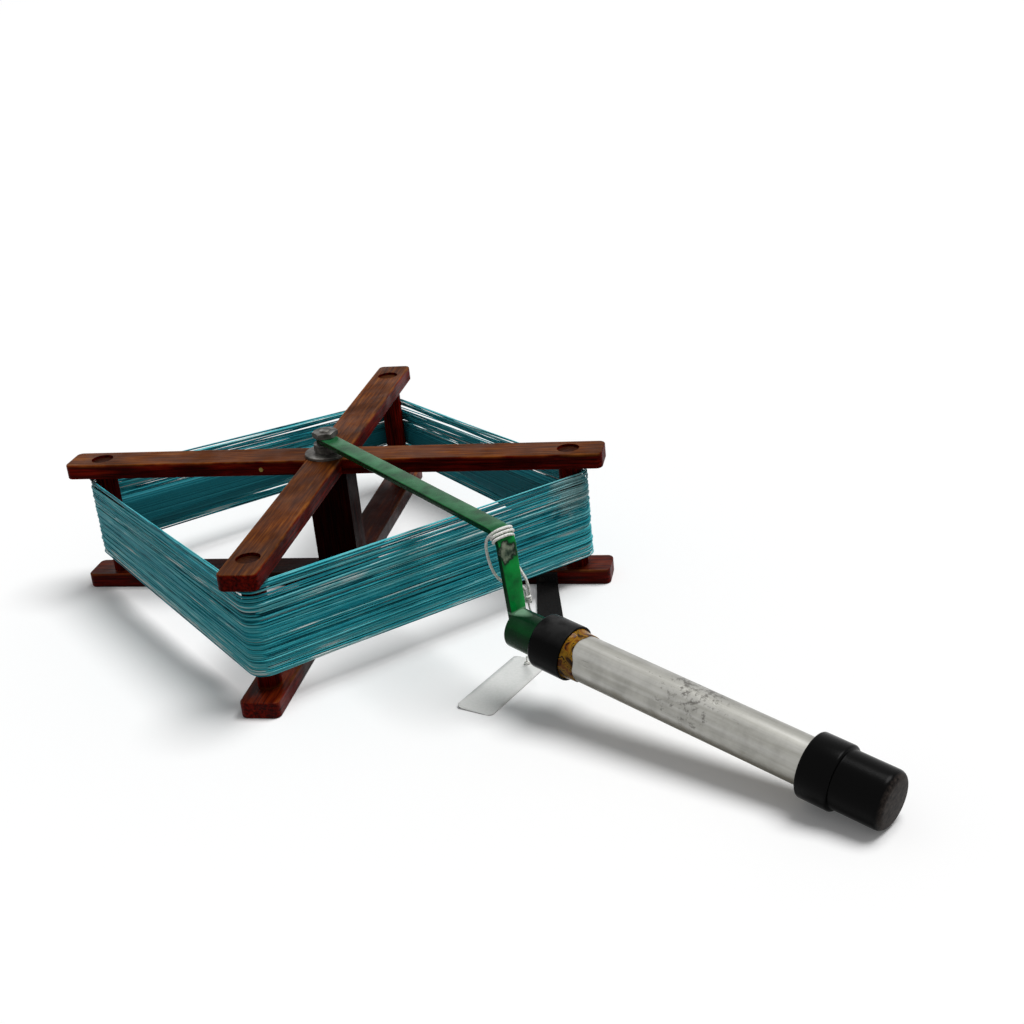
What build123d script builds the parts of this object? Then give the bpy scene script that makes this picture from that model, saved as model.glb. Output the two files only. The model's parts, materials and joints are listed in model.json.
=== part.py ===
"""Fishing line winder: a wooden stand wound with line, turning on a bolt held by a steel handle.

The origin is on the ground, on the axle's axis. +Z is up, +X runs along the long arms.
All sizes are in millimetres.
"""

from build123d import *
from math import asin, atan2, cos, degrees, hypot, radians, sin, sqrt
import os

# ---------------------------------------------------------------- driving dimensions
# Wooden stand: two crosses of half-lapped arms, four corner posts and a centre post
arm_length = 305.0
arm_width = 20.0
arm_thickness = 8.5
arm_corner_radius = 3.5
arm_edge_radius = 0.8
stand_height = 76.2
glue_gap = 0.05
post_diameter = 12.0
post_inset = 19.0
post_top_recess = 1.5
post_foot_recess = 0.5
centre_post_length = 23.0
centre_post_width = 18.8
centre_post_edge_radius = 0.6

# Axle bolt with its nuts and washers
bolt_diameter = 6.35
bolt_head_diameter = 12.7
bolt_hole_clearance = 0.15
bolt_end_height = 0.6
wood_washer_diameter = 25.0
wood_washer_thickness = 1.8
clamp_nut_flats = 12.4
clamp_nut_height = 4.0
strap_washer_diameter = 14.0
strap_washer_thickness = 1.0
lock_nut_flats = 12.4
lock_nut_height = 3.2
nut_chamfer = 0.5
running_gap = 0.1
pivot_clearance = 0.06

# Bent steel strap of the handle
strap_angle = -46.0
strap_width = 9.5
strap_thickness = 3.2
strap_tail = 1.5
strap_overhang = 42.4
strap_bend_radius = 6.0
leg_lean = 6.4
leg_twist = 15.0

# Handle: socket, sleeve, tube and end cap on one axis, which slopes down to the ground
socket_height = 37.2
socket_diameter = 19.1
socket_wall = 2.0
socket_length = 50.0
socket_overhang = 2.1
tube_wall = 1.1
slip_fit = 0.05
sleeve_start = 16.9
sleeve_length = 17.9
sleeve_wall = 2.4
sleeve_lip = 2.2
sleeve_end_radius = 1.6
mouth_depth = 3.0
mouth_rim = 0.8
band_tail = 6.0
band_thickness = 0.5
collar_start = 157.7
collar_length = 14.9
collar_diameter = 29.0
cap_nose_length = 22.7
cap_nose_diameter = 26.0
cap_nose_radius = 3.5
cap_edge_radius = 1.0
cap_floor = 3.0

# Winding: a plain core, and an outer layer of turns round it
winding_bottom = 15.5
winding_height = 47.5
winding_core_thickness = 1.5
winding_gap = 0.1
turn_count = 24
turn_diameter = 1.4

# Brass pin that held the start of the line
pin_position = -36.0
pin_rise = 0.45
pin_shank_diameter = 1.2
pin_shank_length = 8.0
pin_head_diameter = 2.4
pin_head_height = 0.6

# Black keeper strip under the right foot, and its two nails
keeper_inset = 15.7
keeper_length = 66.0
keeper_sidestep = 12.5
keeper_start_width = 11.6
keeper_end_width = 15.0
keeper_thickness = 2.0
keeper_upright_height = 7.6
keeper_corner_radius = 4.0
nail_head_diameter = 3.0
nail_head_height = 0.7
nail_shank_diameter = 1.0
nail_shank_length = 6.0
nail_spacing = 5.5

# White string tied round the bend, its knot and the swing tag
string_diameter = 1.4
wrap_gap = 0.45
wrap_pitch = 1.9
wrap_corner_radius = 1.9
string_exit = 1.5
knot_inset = 1.8
knot_side_gap = 1.6
knot_rise = 13.0
knot_diameter = 3.8
knot_height = 3.6
knot_edge_radius = 0.35
thread_diameter = 0.9
tag_length = 54.0
tag_width = 20.0
tag_thickness = 0.5
tag_corner_radius = 2.5
tag_angle = 68.2
tag_hole_inset = 5.0
tag_hole_back = 20.8
tag_hole_side = 18.3
tag_hole_diameter = 2.6
tag_knot_diameter = 3.4
tag_knot_height = 1.3

# ---------------------------------------------------------------- worked-out sizes
bolt_radius = bolt_diameter / 2
bolt_head_depth = bolt_head_diameter / 2 - bolt_radius
bolt_hole_radius = bolt_radius + bolt_hole_clearance
top_arm_base = stand_height - arm_thickness
post_radius = post_diameter / 2
post_offset = arm_length / 2 - post_inset
post_square = post_offset * sqrt(2)

clamp_nut_base = stand_height + wood_washer_thickness
strap_washer_base = clamp_nut_base + clamp_nut_height
strap_base = strap_washer_base + strap_washer_thickness + running_gap
strap_top = strap_base + strap_thickness
lock_nut_base = strap_top + running_gap
bolt_top = lock_nut_base + lock_nut_height + bolt_end_height

# The strap lies in its own upright plane: x outwards along the strap, y across it, z up
strap_plane = Plane.XY.rotated((0, 0, strap_angle))
strap_centre_height = strap_base + strap_thickness / 2
strap_half_width = strap_width / 2
strap_reach = post_offset + strap_overhang
bend_radius = strap_bend_radius + strap_thickness / 2
bend_turn = 90 - leg_lean
bend_tangent = bend_radius * sin(radians(bend_turn)) / (1 + cos(radians(bend_turn)))
bend_start = strap_reach - bend_tangent
bend_centre_height = strap_centre_height - bend_radius
lean_slope = sin(radians(leg_lean)) / cos(radians(leg_lean))
leg_top_reach = strap_reach + bend_tangent * sin(radians(leg_lean))
leg_top_height = strap_centre_height - bend_tangent * cos(radians(leg_lean))
leg_drop = leg_top_height - socket_height
leg_foot_reach = leg_top_reach + leg_drop * lean_slope

# The handle slopes so that the rounded rim of its cap rests on the ground
cap_end = collar_start + collar_length + cap_nose_length
cap_rim_reach = cap_end - socket_overhang - cap_nose_radius
cap_rim_radius = cap_nose_diameter / 2 - cap_nose_radius
cap_rim_drop = socket_height - cap_nose_radius
handle_slope = degrees(
    asin(cap_rim_drop / hypot(cap_rim_reach, cap_rim_radius)) - atan2(cap_rim_radius, cap_rim_reach)
)
handle_turn = strap_angle + leg_twist
handle_direction = Vector(1, 0, 0).rotate(Axis.Y, handle_slope).rotate(Axis.Z, handle_turn)
leg_foot = strap_plane.from_local_coords(Vector(leg_foot_reach, 0, socket_height))
socket_start = leg_foot - handle_direction * socket_overhang
handle_plane = Plane(origin=socket_start, z_dir=handle_direction)

socket_radius = socket_diameter / 2
tube_bore_radius = socket_radius + slip_fit
tube_radius = tube_bore_radius + tube_wall
sleeve_radius = tube_radius + sleeve_wall
sleeve_end = sleeve_start + sleeve_length
sleeve_bore_radius = tube_radius + slip_fit
mouth_radius = sleeve_radius - mouth_rim
tube_start = sleeve_start + sleeve_lip
tube_length = cap_end - cap_floor - tube_start

core_inner = post_radius + winding_gap
core_outer = core_inner + winding_core_thickness
turn_radius = turn_diameter / 2
turn_offset = core_outer + winding_gap + turn_radius
turn_pitch = (winding_height - turn_diameter) / turn_count

string_radius = string_diameter / 2
wrap_side = strap_half_width + wrap_gap + string_radius
wrap_rise = strap_thickness / 2 + wrap_gap + string_radius
wrap_exit = wrap_rise + string_exit
wrap_angle = bend_turn / 2


def leg_reach(height):
    """Gives how far out the middle of the leg is at a height."""
    return leg_top_reach + (leg_top_height - height) * lean_slope


def in_strap_plane(points):
    """Places points given as (out along the strap, across it, up)."""
    return [strap_plane.from_local_coords(Vector(point)) for point in points]


def bend_radii(points):
    """Gives each corner of a route the largest arc that its two runs allow."""
    radii = []
    for before, corner, after in zip(points, points[1:], points[2:]):
        run_in = corner - before
        run_out = after - corner
        half_turn = radians(run_in.get_angle(run_out)) / 2
        radii.append(0.45 * min(run_in.length, run_out.length) * cos(half_turn) / sin(half_turn))
    return radii


def least_gap(route, diameter, samples, apart):
    """Measures the least gap between stretches of a tube that lie well apart along it."""
    points = [route.position_at(i / samples) for i in range(samples + 1)]
    nearest = route.length
    for i, point in enumerate(points):
        for other in points[i + apart:]:
            nearest = min(nearest, (other - point).length)
    return nearest - diameter


# ---------------------------------------------------------------- wooden stand
os.makedirs("parts", exist_ok=True)

# Each arm: name, turn about the axle, base height, and the side that its lap is cut from
arms = [
    ("top_arm_long", 0, top_arm_base, "above"),
    ("top_arm_cross", 90, top_arm_base, "below"),
    ("bottom_arm_long", 0, 0, "above"),
    ("bottom_arm_cross", 90, 0, "below"),
]
lap_depth = (arm_thickness + glue_gap) / 2
arm_front = Plane.XZ.offset(arm_width / 2)
pin_place = (pin_position, top_arm_base + arm_thickness * pin_rise)
keeper_position = post_offset - keeper_inset
nail_height = keeper_upright_height * 0.55
nail_places = [(keeper_position + side * nail_spacing / 2, nail_height) for side in (-1, 1)]

for arm_name, arm_turn, arm_base, lap_side in arms:
    arm_plane = Plane.XY.offset(arm_base).rotated((0, 0, arm_turn))
    lap_base = arm_thickness - lap_depth if lap_side == "above" else 0
    with BuildPart() as arm:
        with BuildSketch(arm_plane):
            RectangleRounded(arm_length, arm_width, arm_corner_radius)
        extrude(amount=arm_thickness)
        fillet(arm.faces().filter_by(Axis.Z).edges(), arm_edge_radius)
        with BuildSketch(arm_plane.offset(lap_base)):
            Rectangle(arm_width + 2 * glue_gap, arm_width + 2 * arm_edge_radius)
        extrude(amount=lap_depth, mode=Mode.SUBTRACT)
        with BuildSketch(arm_plane):
            Circle(bolt_hole_radius)
            with Locations((-post_offset, 0), (post_offset, 0)):
                Circle(post_radius + glue_gap)
        extrude(amount=arm_thickness, mode=Mode.SUBTRACT)
        if arm_name == "bottom_arm_long":
            # Seat of the countersunk head, open to the ground, and the holes of the strip's nails
            with BuildSketch(arm_plane):
                Circle(bolt_head_diameter / 2 + glue_gap)
            extrude(amount=bolt_head_depth, taper=45, mode=Mode.SUBTRACT)
            with BuildSketch(arm_front):
                with Locations(*nail_places):
                    Circle(nail_shank_diameter / 2 + glue_gap)
            extrude(amount=-nail_shank_length, mode=Mode.SUBTRACT)
        if arm_name == "top_arm_long":
            with BuildSketch(arm_front):
                with Locations(pin_place):
                    Circle(pin_shank_diameter / 2 + glue_gap)
            extrude(amount=-pin_shank_length - glue_gap, mode=Mode.SUBTRACT)
    arm.part.label = arm_name
    export_step(arm.part, f"parts/{arm_name}.step")

corner_posts = {
    "corner_post_right": (post_offset, 0),
    "corner_post_back": (0, post_offset),
    "corner_post_left": (-post_offset, 0),
    "corner_post_front": (0, -post_offset),
}
for post_name, post_place in corner_posts.items():
    with BuildPart() as corner_post:
        with BuildSketch(Plane.XY.offset(post_foot_recess)):
            with Locations(post_place):
                Circle(post_radius)
        extrude(amount=stand_height - post_top_recess - post_foot_recess)
    corner_post.part.label = post_name
    export_step(corner_post.part, f"parts/{post_name}.step")

with BuildPart() as centre_post:
    with BuildSketch(Plane.XY.offset(arm_thickness)):
        RectangleRounded(centre_post_length, centre_post_width, centre_post_edge_radius)
        Circle(bolt_hole_radius, mode=Mode.SUBTRACT)
    extrude(amount=top_arm_base - arm_thickness)
centre_post.part.label = "centre_post"
export_step(centre_post.part, "parts/centre_post.step")

with BuildPart() as line_start_pin:
    with BuildSketch(arm_front):
        with Locations(pin_place):
            Circle(pin_head_diameter / 2)
    extrude(amount=pin_head_height)
    with BuildSketch(arm_front):
        with Locations(pin_place):
            Circle(pin_shank_diameter / 2)
    extrude(amount=-pin_shank_length)
line_start_pin.part.label = "line_start_pin"
export_step(line_start_pin.part, "parts/line_start_pin.step")

# ---------------------------------------------------------------- axle bolt, nuts and washers
with BuildPart() as axle_bolt:
    with BuildSketch():
        Circle(bolt_head_diameter / 2)
    extrude(amount=bolt_head_depth, taper=45)
    with BuildSketch():
        Circle(bolt_radius)
    extrude(amount=bolt_top)
    chamfer(axle_bolt.faces().sort_by(Axis.Z)[-1].edges(), bolt_end_height * 0.8)
axle_bolt.part.label = "axle_bolt"
export_step(axle_bolt.part, "parts/axle_bolt.step")

# Each washer: name, base height, outer diameter and thickness
washers = [
    ("wood_washer", stand_height, wood_washer_diameter, wood_washer_thickness),
    ("strap_washer", strap_washer_base, strap_washer_diameter, strap_washer_thickness),
]
for washer_name, washer_base, washer_diameter, washer_thickness in washers:
    with BuildPart() as washer:
        with BuildSketch(Plane.XY.offset(washer_base)):
            Circle(washer_diameter / 2)
            Circle(bolt_radius + glue_gap, mode=Mode.SUBTRACT)
        extrude(amount=washer_thickness)
        fillet(washer.faces().sort_by(Axis.Z)[-1].outer_wire().edges(), washer_thickness * 0.3)
    washer.part.label = washer_name
    export_step(washer.part, f"parts/{washer_name}.step")

# Each nut: name, base height, width across flats and height
nuts = [
    ("clamp_nut", clamp_nut_base, clamp_nut_flats, clamp_nut_height),
    ("lock_nut", lock_nut_base, lock_nut_flats, lock_nut_height),
]
for nut_name, nut_base, nut_flats, nut_height in nuts:
    with BuildPart() as nut:
        with BuildSketch(Plane.XY.offset(nut_base)):
            RegularPolygon(nut_flats / 2, 6, major_radius=False, rotation=strap_angle)
            Circle(bolt_radius + glue_gap, mode=Mode.SUBTRACT)
        extrude(amount=nut_height)
        # Corners turned off above and below
        nut_flat_radius = nut_flats / 2
        nut_corner_radius = nut_flat_radius / cos(radians(30))
        nut_bevel = (nut_corner_radius - nut_flat_radius) * sin(radians(30)) / cos(radians(30))
        with BuildSketch(Plane.XZ):
            with Locations((nut_flat_radius / 2, nut_base + nut_height / 2)):
                Rectangle(nut_flat_radius, nut_height)
            with Locations((nut_corner_radius / 2, nut_base + nut_height / 2)):
                Rectangle(nut_corner_radius, nut_height - 2 * nut_bevel)
            make_hull()
        revolve(axis=Axis.Z, mode=Mode.INTERSECT)
    nut.part.label = nut_name
    export_step(nut.part, f"parts/{nut_name}.step")

# ---------------------------------------------------------------- handle
strap_side = Plane(origin=(0, 0, 0), x_dir=strap_plane.x_dir, z_dir=-strap_plane.y_dir)
leg_plane = Plane(
    origin=strap_plane.from_local_coords(Vector(leg_top_reach, 0, leg_top_height)),
    x_dir=strap_plane.y_dir,
    z_dir=Vector(0, 0, -1).rotate(Axis((0, 0, 0), strap_plane.y_dir), -leg_lean),
)
leg_foot_plane = leg_plane.offset(leg_drop / cos(radians(leg_lean))).rotated((0, 0, -leg_twist))

with BuildPart() as handle_strap:
    # Straight run and bend, drawn from the side and given the strap's width
    with BuildSketch(strap_side):
        with BuildLine():
            run = Line((-strap_tail, strap_centre_height), (bend_start, strap_centre_height))
            JernArc(start=run @ 1, tangent=run % 1, radius=bend_radius, arc_size=-bend_turn)
        trace(line_width=strap_thickness)
    extrude(amount=strap_half_width, both=True)
    # Rounded tail behind the bolt
    with BuildSketch(strap_plane.offset(strap_base)):
        with Locations((-strap_tail, 0)):
            Circle(strap_half_width)
    extrude(amount=strap_thickness)
    # Leg, twisted towards the line of the handle
    with BuildSketch(leg_plane):
        Rectangle(strap_width, strap_thickness)
    with BuildSketch(leg_foot_plane):
        Rectangle(strap_width, strap_thickness)
    loft(ruled=True)
    with BuildSketch(Plane.XY.offset(strap_base)):
        Circle(bolt_radius + pivot_clearance)
    extrude(amount=strap_thickness, mode=Mode.SUBTRACT)
    # The foot is cut to the round of the socket
    with BuildSketch(handle_plane):
        Circle(socket_radius)
    extrude(amount=socket_length, mode=Mode.SUBTRACT)
handle_strap.part.label = "handle_strap"
export_step(handle_strap.part, "parts/handle_strap.step")

with BuildPart() as handle_socket:
    with BuildSketch(handle_plane):
        Circle(socket_radius)
    extrude(amount=socket_length)
    with BuildSketch(handle_plane.offset(socket_wall)):
        Circle(socket_radius - socket_wall)
    extrude(amount=socket_length - socket_wall, mode=Mode.SUBTRACT)
handle_socket.part.label = "handle_socket"
export_step(handle_socket.part, "parts/handle_socket.step")

with BuildPart() as handle_tube:
    with BuildSketch(handle_plane.offset(tube_start)):
        Circle(tube_radius)
        Circle(tube_bore_radius, mode=Mode.SUBTRACT)
    extrude(amount=tube_length)
handle_tube.part.label = "handle_tube"
export_step(handle_tube.part, "parts/handle_tube.step")

handle_line = Axis(socket_start, handle_direction)
with BuildPart() as rubber_sleeve:
    with BuildSketch(handle_plane.offset(sleeve_start)):
        Circle(sleeve_radius)
    extrude(amount=sleeve_length)
    fillet(rubber_sleeve.faces().sort_by(handle_line)[0].edges(), sleeve_end_radius)
    with BuildSketch(handle_plane.offset(sleeve_start)):
        Circle(socket_radius + slip_fit)
    extrude(amount=sleeve_length, mode=Mode.SUBTRACT)
    with BuildSketch(handle_plane.offset(tube_start)):
        Circle(sleeve_bore_radius)
    extrude(amount=sleeve_length, mode=Mode.SUBTRACT)
    # Flared mouth, filled by the amber band
    with BuildSketch(handle_plane.offset(sleeve_end - mouth_depth)):
        Circle(sleeve_bore_radius)
    with BuildSketch(handle_plane.offset(sleeve_end)):
        Circle(mouth_radius)
    loft(mode=Mode.SUBTRACT)
rubber_sleeve.part.label = "rubber_sleeve"
export_step(rubber_sleeve.part, "parts/rubber_sleeve.step")

with BuildPart() as amber_band:
    with BuildSketch(handle_plane.offset(sleeve_end - mouth_depth)):
        Circle(sleeve_bore_radius)
    with BuildSketch(handle_plane.offset(sleeve_end)):
        Circle(mouth_radius)
    loft()
    with BuildSketch(handle_plane.offset(sleeve_end)):
        Circle(sleeve_bore_radius + band_thickness)
    extrude(amount=band_tail)
    with BuildSketch(handle_plane.offset(sleeve_end - mouth_depth)):
        Circle(tube_radius)
    extrude(amount=mouth_depth + band_tail, mode=Mode.SUBTRACT)
amber_band.part.label = "amber_band"
export_step(amber_band.part, "parts/amber_band.step")

with BuildPart() as end_cap:
    with BuildSketch(handle_plane.offset(collar_start)):
        Circle(collar_diameter / 2)
    extrude(amount=collar_length)
    fillet(end_cap.faces().filter_by(GeomType.PLANE).edges(), cap_edge_radius)
    with BuildSketch(handle_plane.offset(collar_start + collar_length)):
        Circle(cap_nose_diameter / 2)
    extrude(amount=cap_nose_length)
    fillet(end_cap.faces().sort_by(handle_line)[-1].edges(), cap_nose_radius)
    with BuildSketch(handle_plane.offset(collar_start)):
        Circle(tube_radius + slip_fit)
    extrude(amount=cap_end - cap_floor - collar_start, mode=Mode.SUBTRACT)
end_cap.part.label = "end_cap"
export_step(end_cap.part, "parts/end_cap.step")

# ---------------------------------------------------------------- winding
core_width = post_square + 2 * core_outer
core_opening = post_square + 2 * core_inner
with BuildPart() as line_core:
    with BuildSketch(Plane.XY.offset(winding_bottom)):
        RectangleRounded(core_width, core_width, core_outer, rotation=45)
        RectangleRounded(core_opening, core_opening, core_inner, rotation=45, mode=Mode.SUBTRACT)
    extrude(amount=winding_height)
line_core.part.label = "line_core"
export_step(line_core.part, "parts/line_core.step")

# The outer turns: each goes round the four posts and climbs along the back left side
post_corners = [Vector(post_offset, 0, 0).rotate(Axis.Z, 90 * i) for i in range(5)]
side_normals = [Vector(turn_offset, 0, 0).rotate(Axis.Z, 45 + 90 * i) for i in range(4)]
side_directions = [(post_corners[i + 1] - post_corners[i]).normalized() for i in range(4)]
climbing_side = 1
with BuildLine() as turn_route:
    turn_height = winding_bottom + turn_radius
    for turn in range(turn_count):
        for side in range(4):
            along = side_directions[side]
            rise = turn_pitch if side == climbing_side else 0
            side_start = post_corners[side] + side_normals[side] + Vector(0, 0, turn_height)
            side_end = post_corners[side + 1] + side_normals[side] + Vector(0, 0, turn_height + rise)
            if rise:
                side_middle = (side_start + side_end) / 2
                TangentArc(side_start, side_middle, tangent=along)
                TangentArc(side_end, side_middle, tangent=-along)
            else:
                Line(side_start, side_end)
            turn_height += rise
            round_end = post_corners[side + 1] + side_normals[(side + 1) % 4] + Vector(0, 0, turn_height)
            TangentArc(side_end, round_end, tangent=along)
    Line(round_end, round_end + side_directions[0] * turn_diameter)
with BuildPart() as line_turns:
    with BuildSketch(Plane(origin=turn_route.line @ 0, z_dir=turn_route.line % 0)):
        Circle(turn_radius)
    sweep(path=turn_route.line)
line_turns.part.label = "line_turns"
export_step(line_turns.part, "parts/line_turns.step")
turn_wire = turn_route.wires()[0]
turn_gap = least_gap(turn_wire, turn_diameter, turn_count * 40, 20)
print(f"line_turns: {turn_count} turns, {turn_wire.length:.0f} mm long, least gap {turn_gap:.2f} mm")

# ---------------------------------------------------------------- keeper strip and nails
keeper_start = -arm_width / 2 - keeper_thickness
keeper_tip = -arm_width / 2 - keeper_length
with BuildPart() as keeper_strap:
    with BuildSketch(arm_front):
        with Locations((keeper_position, keeper_upright_height / 2)):
            Rectangle(keeper_start_width, keeper_upright_height)
    extrude(amount=keeper_thickness)
    with BuildSketch():
        keeper_end = keeper_position + keeper_sidestep
        Polygon(
            (keeper_position - keeper_start_width / 2, -arm_width / 2),
            (keeper_position - keeper_start_width / 2, keeper_start),
            (keeper_end - keeper_end_width / 2, keeper_tip),
            (keeper_end + keeper_end_width / 2, keeper_tip),
            (keeper_position + keeper_start_width / 2, keeper_start),
            (keeper_position + keeper_start_width / 2, -arm_width / 2),
            align=None,
        )
    extrude(amount=keeper_thickness)
    tip_edges = keeper_strap.edges().filter_by(Axis.Z).sort_by(Axis.Y)[:2]
    fillet(tip_edges, keeper_corner_radius)
    with BuildSketch(arm_front):
        with Locations(*nail_places):
            Circle(nail_shank_diameter / 2 + glue_gap)
    extrude(amount=keeper_thickness, mode=Mode.SUBTRACT)
keeper_strap.part.label = "keeper_strap"
export_step(keeper_strap.part, "parts/keeper_strap.step")

with BuildPart() as keeper_nails:
    with BuildSketch(arm_front.offset(keeper_thickness)):
        with Locations(*nail_places):
            Circle(nail_head_diameter / 2)
    extrude(amount=nail_head_height)
    with BuildSketch(arm_front.offset(keeper_thickness)):
        with Locations(*nail_places):
            Circle(nail_shank_diameter / 2)
    extrude(amount=-nail_shank_length - keeper_thickness + slip_fit)
keeper_nails.part.label = "keeper_nails"
export_step(keeper_nails.part, "parts/keeper_nails.step")

# ---------------------------------------------------------------- string, knot and tag
# Round the bend: points given as side, distance along the bend, and distance off its middle
wrap_along = Vector(cos(radians(wrap_angle)), 0, -sin(radians(wrap_angle)))
wrap_outwards = Vector(sin(radians(wrap_angle)), 0, cos(radians(wrap_angle)))
wrap_middle = Vector(bend_start, 0, bend_centre_height) + wrap_outwards * bend_radius
wrap_points = [(-wrap_side, -wrap_pitch, -wrap_exit)]
for crossing in (-wrap_pitch, 0, wrap_pitch):
    if crossing > -wrap_pitch:
        wrap_points.append((-wrap_side, crossing, -wrap_rise))
    wrap_points.append((-wrap_side, crossing, wrap_rise))
    wrap_points.append((wrap_side, crossing, wrap_rise))
    if crossing < wrap_pitch:
        wrap_points.append((wrap_side, crossing, -wrap_rise))
wrap_points.append((wrap_side, wrap_pitch, -wrap_exit))
wrap_local = [
    wrap_middle + Vector(0, side, 0) + wrap_along * along + wrap_outwards * off
    for side, along, off in wrap_points
]
wrap_start = wrap_local[0]
wrap_end = wrap_local[-1]

# Knot that joins the two ends of the string, beside the leg
knot_top = socket_height + knot_rise
knot_reach = leg_reach(knot_top) - knot_inset
knot_side = strap_half_width + knot_side_gap + knot_diameter / 2
string_spread = string_radius + slip_fit
left_landing = (knot_reach - string_spread * 0.4, knot_side - string_spread * 0.93)
right_landing = (knot_reach + string_spread * 0.4, knot_side + string_spread * 0.93)

# Where the two ends hang: behind the leg, across from the strap's middle, and above the knot
left_hang = [(10.2, -wrap_side - 0.2, 21.3), (9.3, -wrap_side + 0.8, 14.4), (6.9, -wrap_side + 3.5, 8.8)]
left_hang.append((4.9, knot_side - 5.6, 6.8))
right_hang = [(6.5, wrap_side + 0.6, 18.3), (4.2, wrap_side + 1.8, 12.3)]
left_points = [wrap_start, wrap_start - wrap_outwards * 4.0]
for behind, across, above in left_hang:
    left_points.append((leg_reach(knot_top + above) - behind, across, knot_top + above))
left_points += [(*left_landing, knot_top + 4.8), (*left_landing, knot_top)]
right_points = [wrap_end, wrap_end - wrap_outwards * 5.1]
for behind, across, above in right_hang:
    right_points.append((leg_reach(knot_top + above) - behind, across, knot_top + above))
right_points += [(*right_landing, knot_top + 6.8), (*right_landing, knot_top)]

# Tag on the ground; its hole is near the end under the leg
tag_direction = Vector(cos(radians(tag_angle)), sin(radians(tag_angle)))
tag_hole = (tag_length / 2 - tag_hole_inset, 0)
tag_knot_reach = strap_reach - tag_hole_back
tag_knot_side = tag_hole_side
tag_knot_place = strap_plane.from_local_coords(Vector(tag_knot_reach, tag_knot_side))
tag_plane = Plane(
    origin=tag_knot_place - tag_direction * tag_hole[0],
    x_dir=tag_direction,
    z_dir=(0, 0, 1),
)
tag_knot_top = tag_thickness + tag_knot_height
knot_bottom = knot_top - knot_height
thread_points = [
    (knot_reach, knot_side, knot_bottom),
    (knot_reach, knot_side, knot_bottom - 3.6),
    (knot_reach - 0.3, knot_side + 3.2, knot_bottom - 9.2),
    (knot_reach - 1.4, knot_side + 4.7, knot_bottom - 18.6),
    (knot_reach - 5.5, knot_side + 5.6, tag_knot_top + 15.2),
    (tag_knot_reach + 10.4, tag_knot_side - 2.8, tag_knot_top + 6.7),
    (tag_knot_reach + 5.0, tag_knot_side - 1.3, tag_knot_top + 4.4),
    (tag_knot_reach, tag_knot_side, tag_knot_top + 3.6),
    (tag_knot_reach, tag_knot_side, tag_knot_top),
]

# Each cord: name, diameter, route in the strap's frame, and its corner radii if they are set
cords = [
    ("string_wrap", string_diameter, wrap_local, [wrap_corner_radius] * (len(wrap_local) - 2)),
    ("string_left", string_diameter, left_points, None),
    ("string_right", string_diameter, right_points, None),
    ("tag_thread", thread_diameter, thread_points, None),
]
for cord_name, cord_diameter, cord_points, cord_radii in cords:
    route_points = in_strap_plane(cord_points)
    route_radii = cord_radii or bend_radii(route_points)
    with BuildLine() as cord_route:
        FilletPolyline(*route_points, radius=route_radii)
    with BuildPart() as cord:
        with BuildSketch(Plane(origin=cord_route.line @ 0, z_dir=cord_route.line % 0)):
            Circle(cord_diameter / 2)
        sweep(path=cord_route.line)
    cord.part.label = cord_name
    export_step(cord.part, f"parts/{cord_name}.step")
    print(f"{cord_name}: diameter {cord_diameter}, length {cord_route.wires()[0].length:.1f}")
    print("  bend radii", ", ".join(f"{radius:.1f}" for radius in route_radii))
    print("  points", [tuple(round(value, 2) for value in point) for point in route_points])

with BuildPart() as string_knot:
    with BuildSketch(strap_plane.offset(knot_bottom)):
        with Locations((knot_reach, knot_side)):
            Circle(knot_diameter / 2)
    extrude(amount=knot_height)
    fillet(string_knot.faces().filter_by(GeomType.PLANE).edges(), knot_edge_radius)
string_knot.part.label = "string_knot"
export_step(string_knot.part, "parts/string_knot.step")

with BuildPart() as swing_tag:
    with BuildSketch(tag_plane):
        RectangleRounded(tag_length, tag_width, tag_corner_radius)
        with Locations(tag_hole):
            Circle(tag_hole_diameter / 2, mode=Mode.SUBTRACT)
    extrude(amount=tag_thickness)
swing_tag.part.label = "swing_tag"
export_step(swing_tag.part, "parts/swing_tag.step")

with BuildPart() as tag_knot:
    with BuildSketch(tag_plane):
        with Locations(tag_hole):
            Circle(tag_hole_diameter / 2 - slip_fit)
    extrude(amount=tag_thickness)
    with BuildSketch(tag_plane.offset(tag_thickness)):
        with Locations(tag_hole):
            Circle(tag_knot_diameter / 2)
    extrude(amount=tag_knot_height)
    fillet(tag_knot.faces().sort_by(Axis.Z)[-1].edges(), tag_knot_height * 0.4)
tag_knot.part.label = "tag_knot"
export_step(tag_knot.part, "parts/tag_knot.step")
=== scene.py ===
"""Fishing line winder: a wooden stand wound with teal line, and a bent handle that turns on its axle.

Lengths are written in millimetres and turned to metres where meshes are made. The origin is on the
ground under the axle, +Z is up and +X runs along the long arms.
"""

import json
import logging
import math
import random
from dataclasses import dataclass
from enum import Enum
from typing import Any, Iterable, Sequence

import bmesh
import bpy
from mathutils import Matrix, Vector

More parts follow.
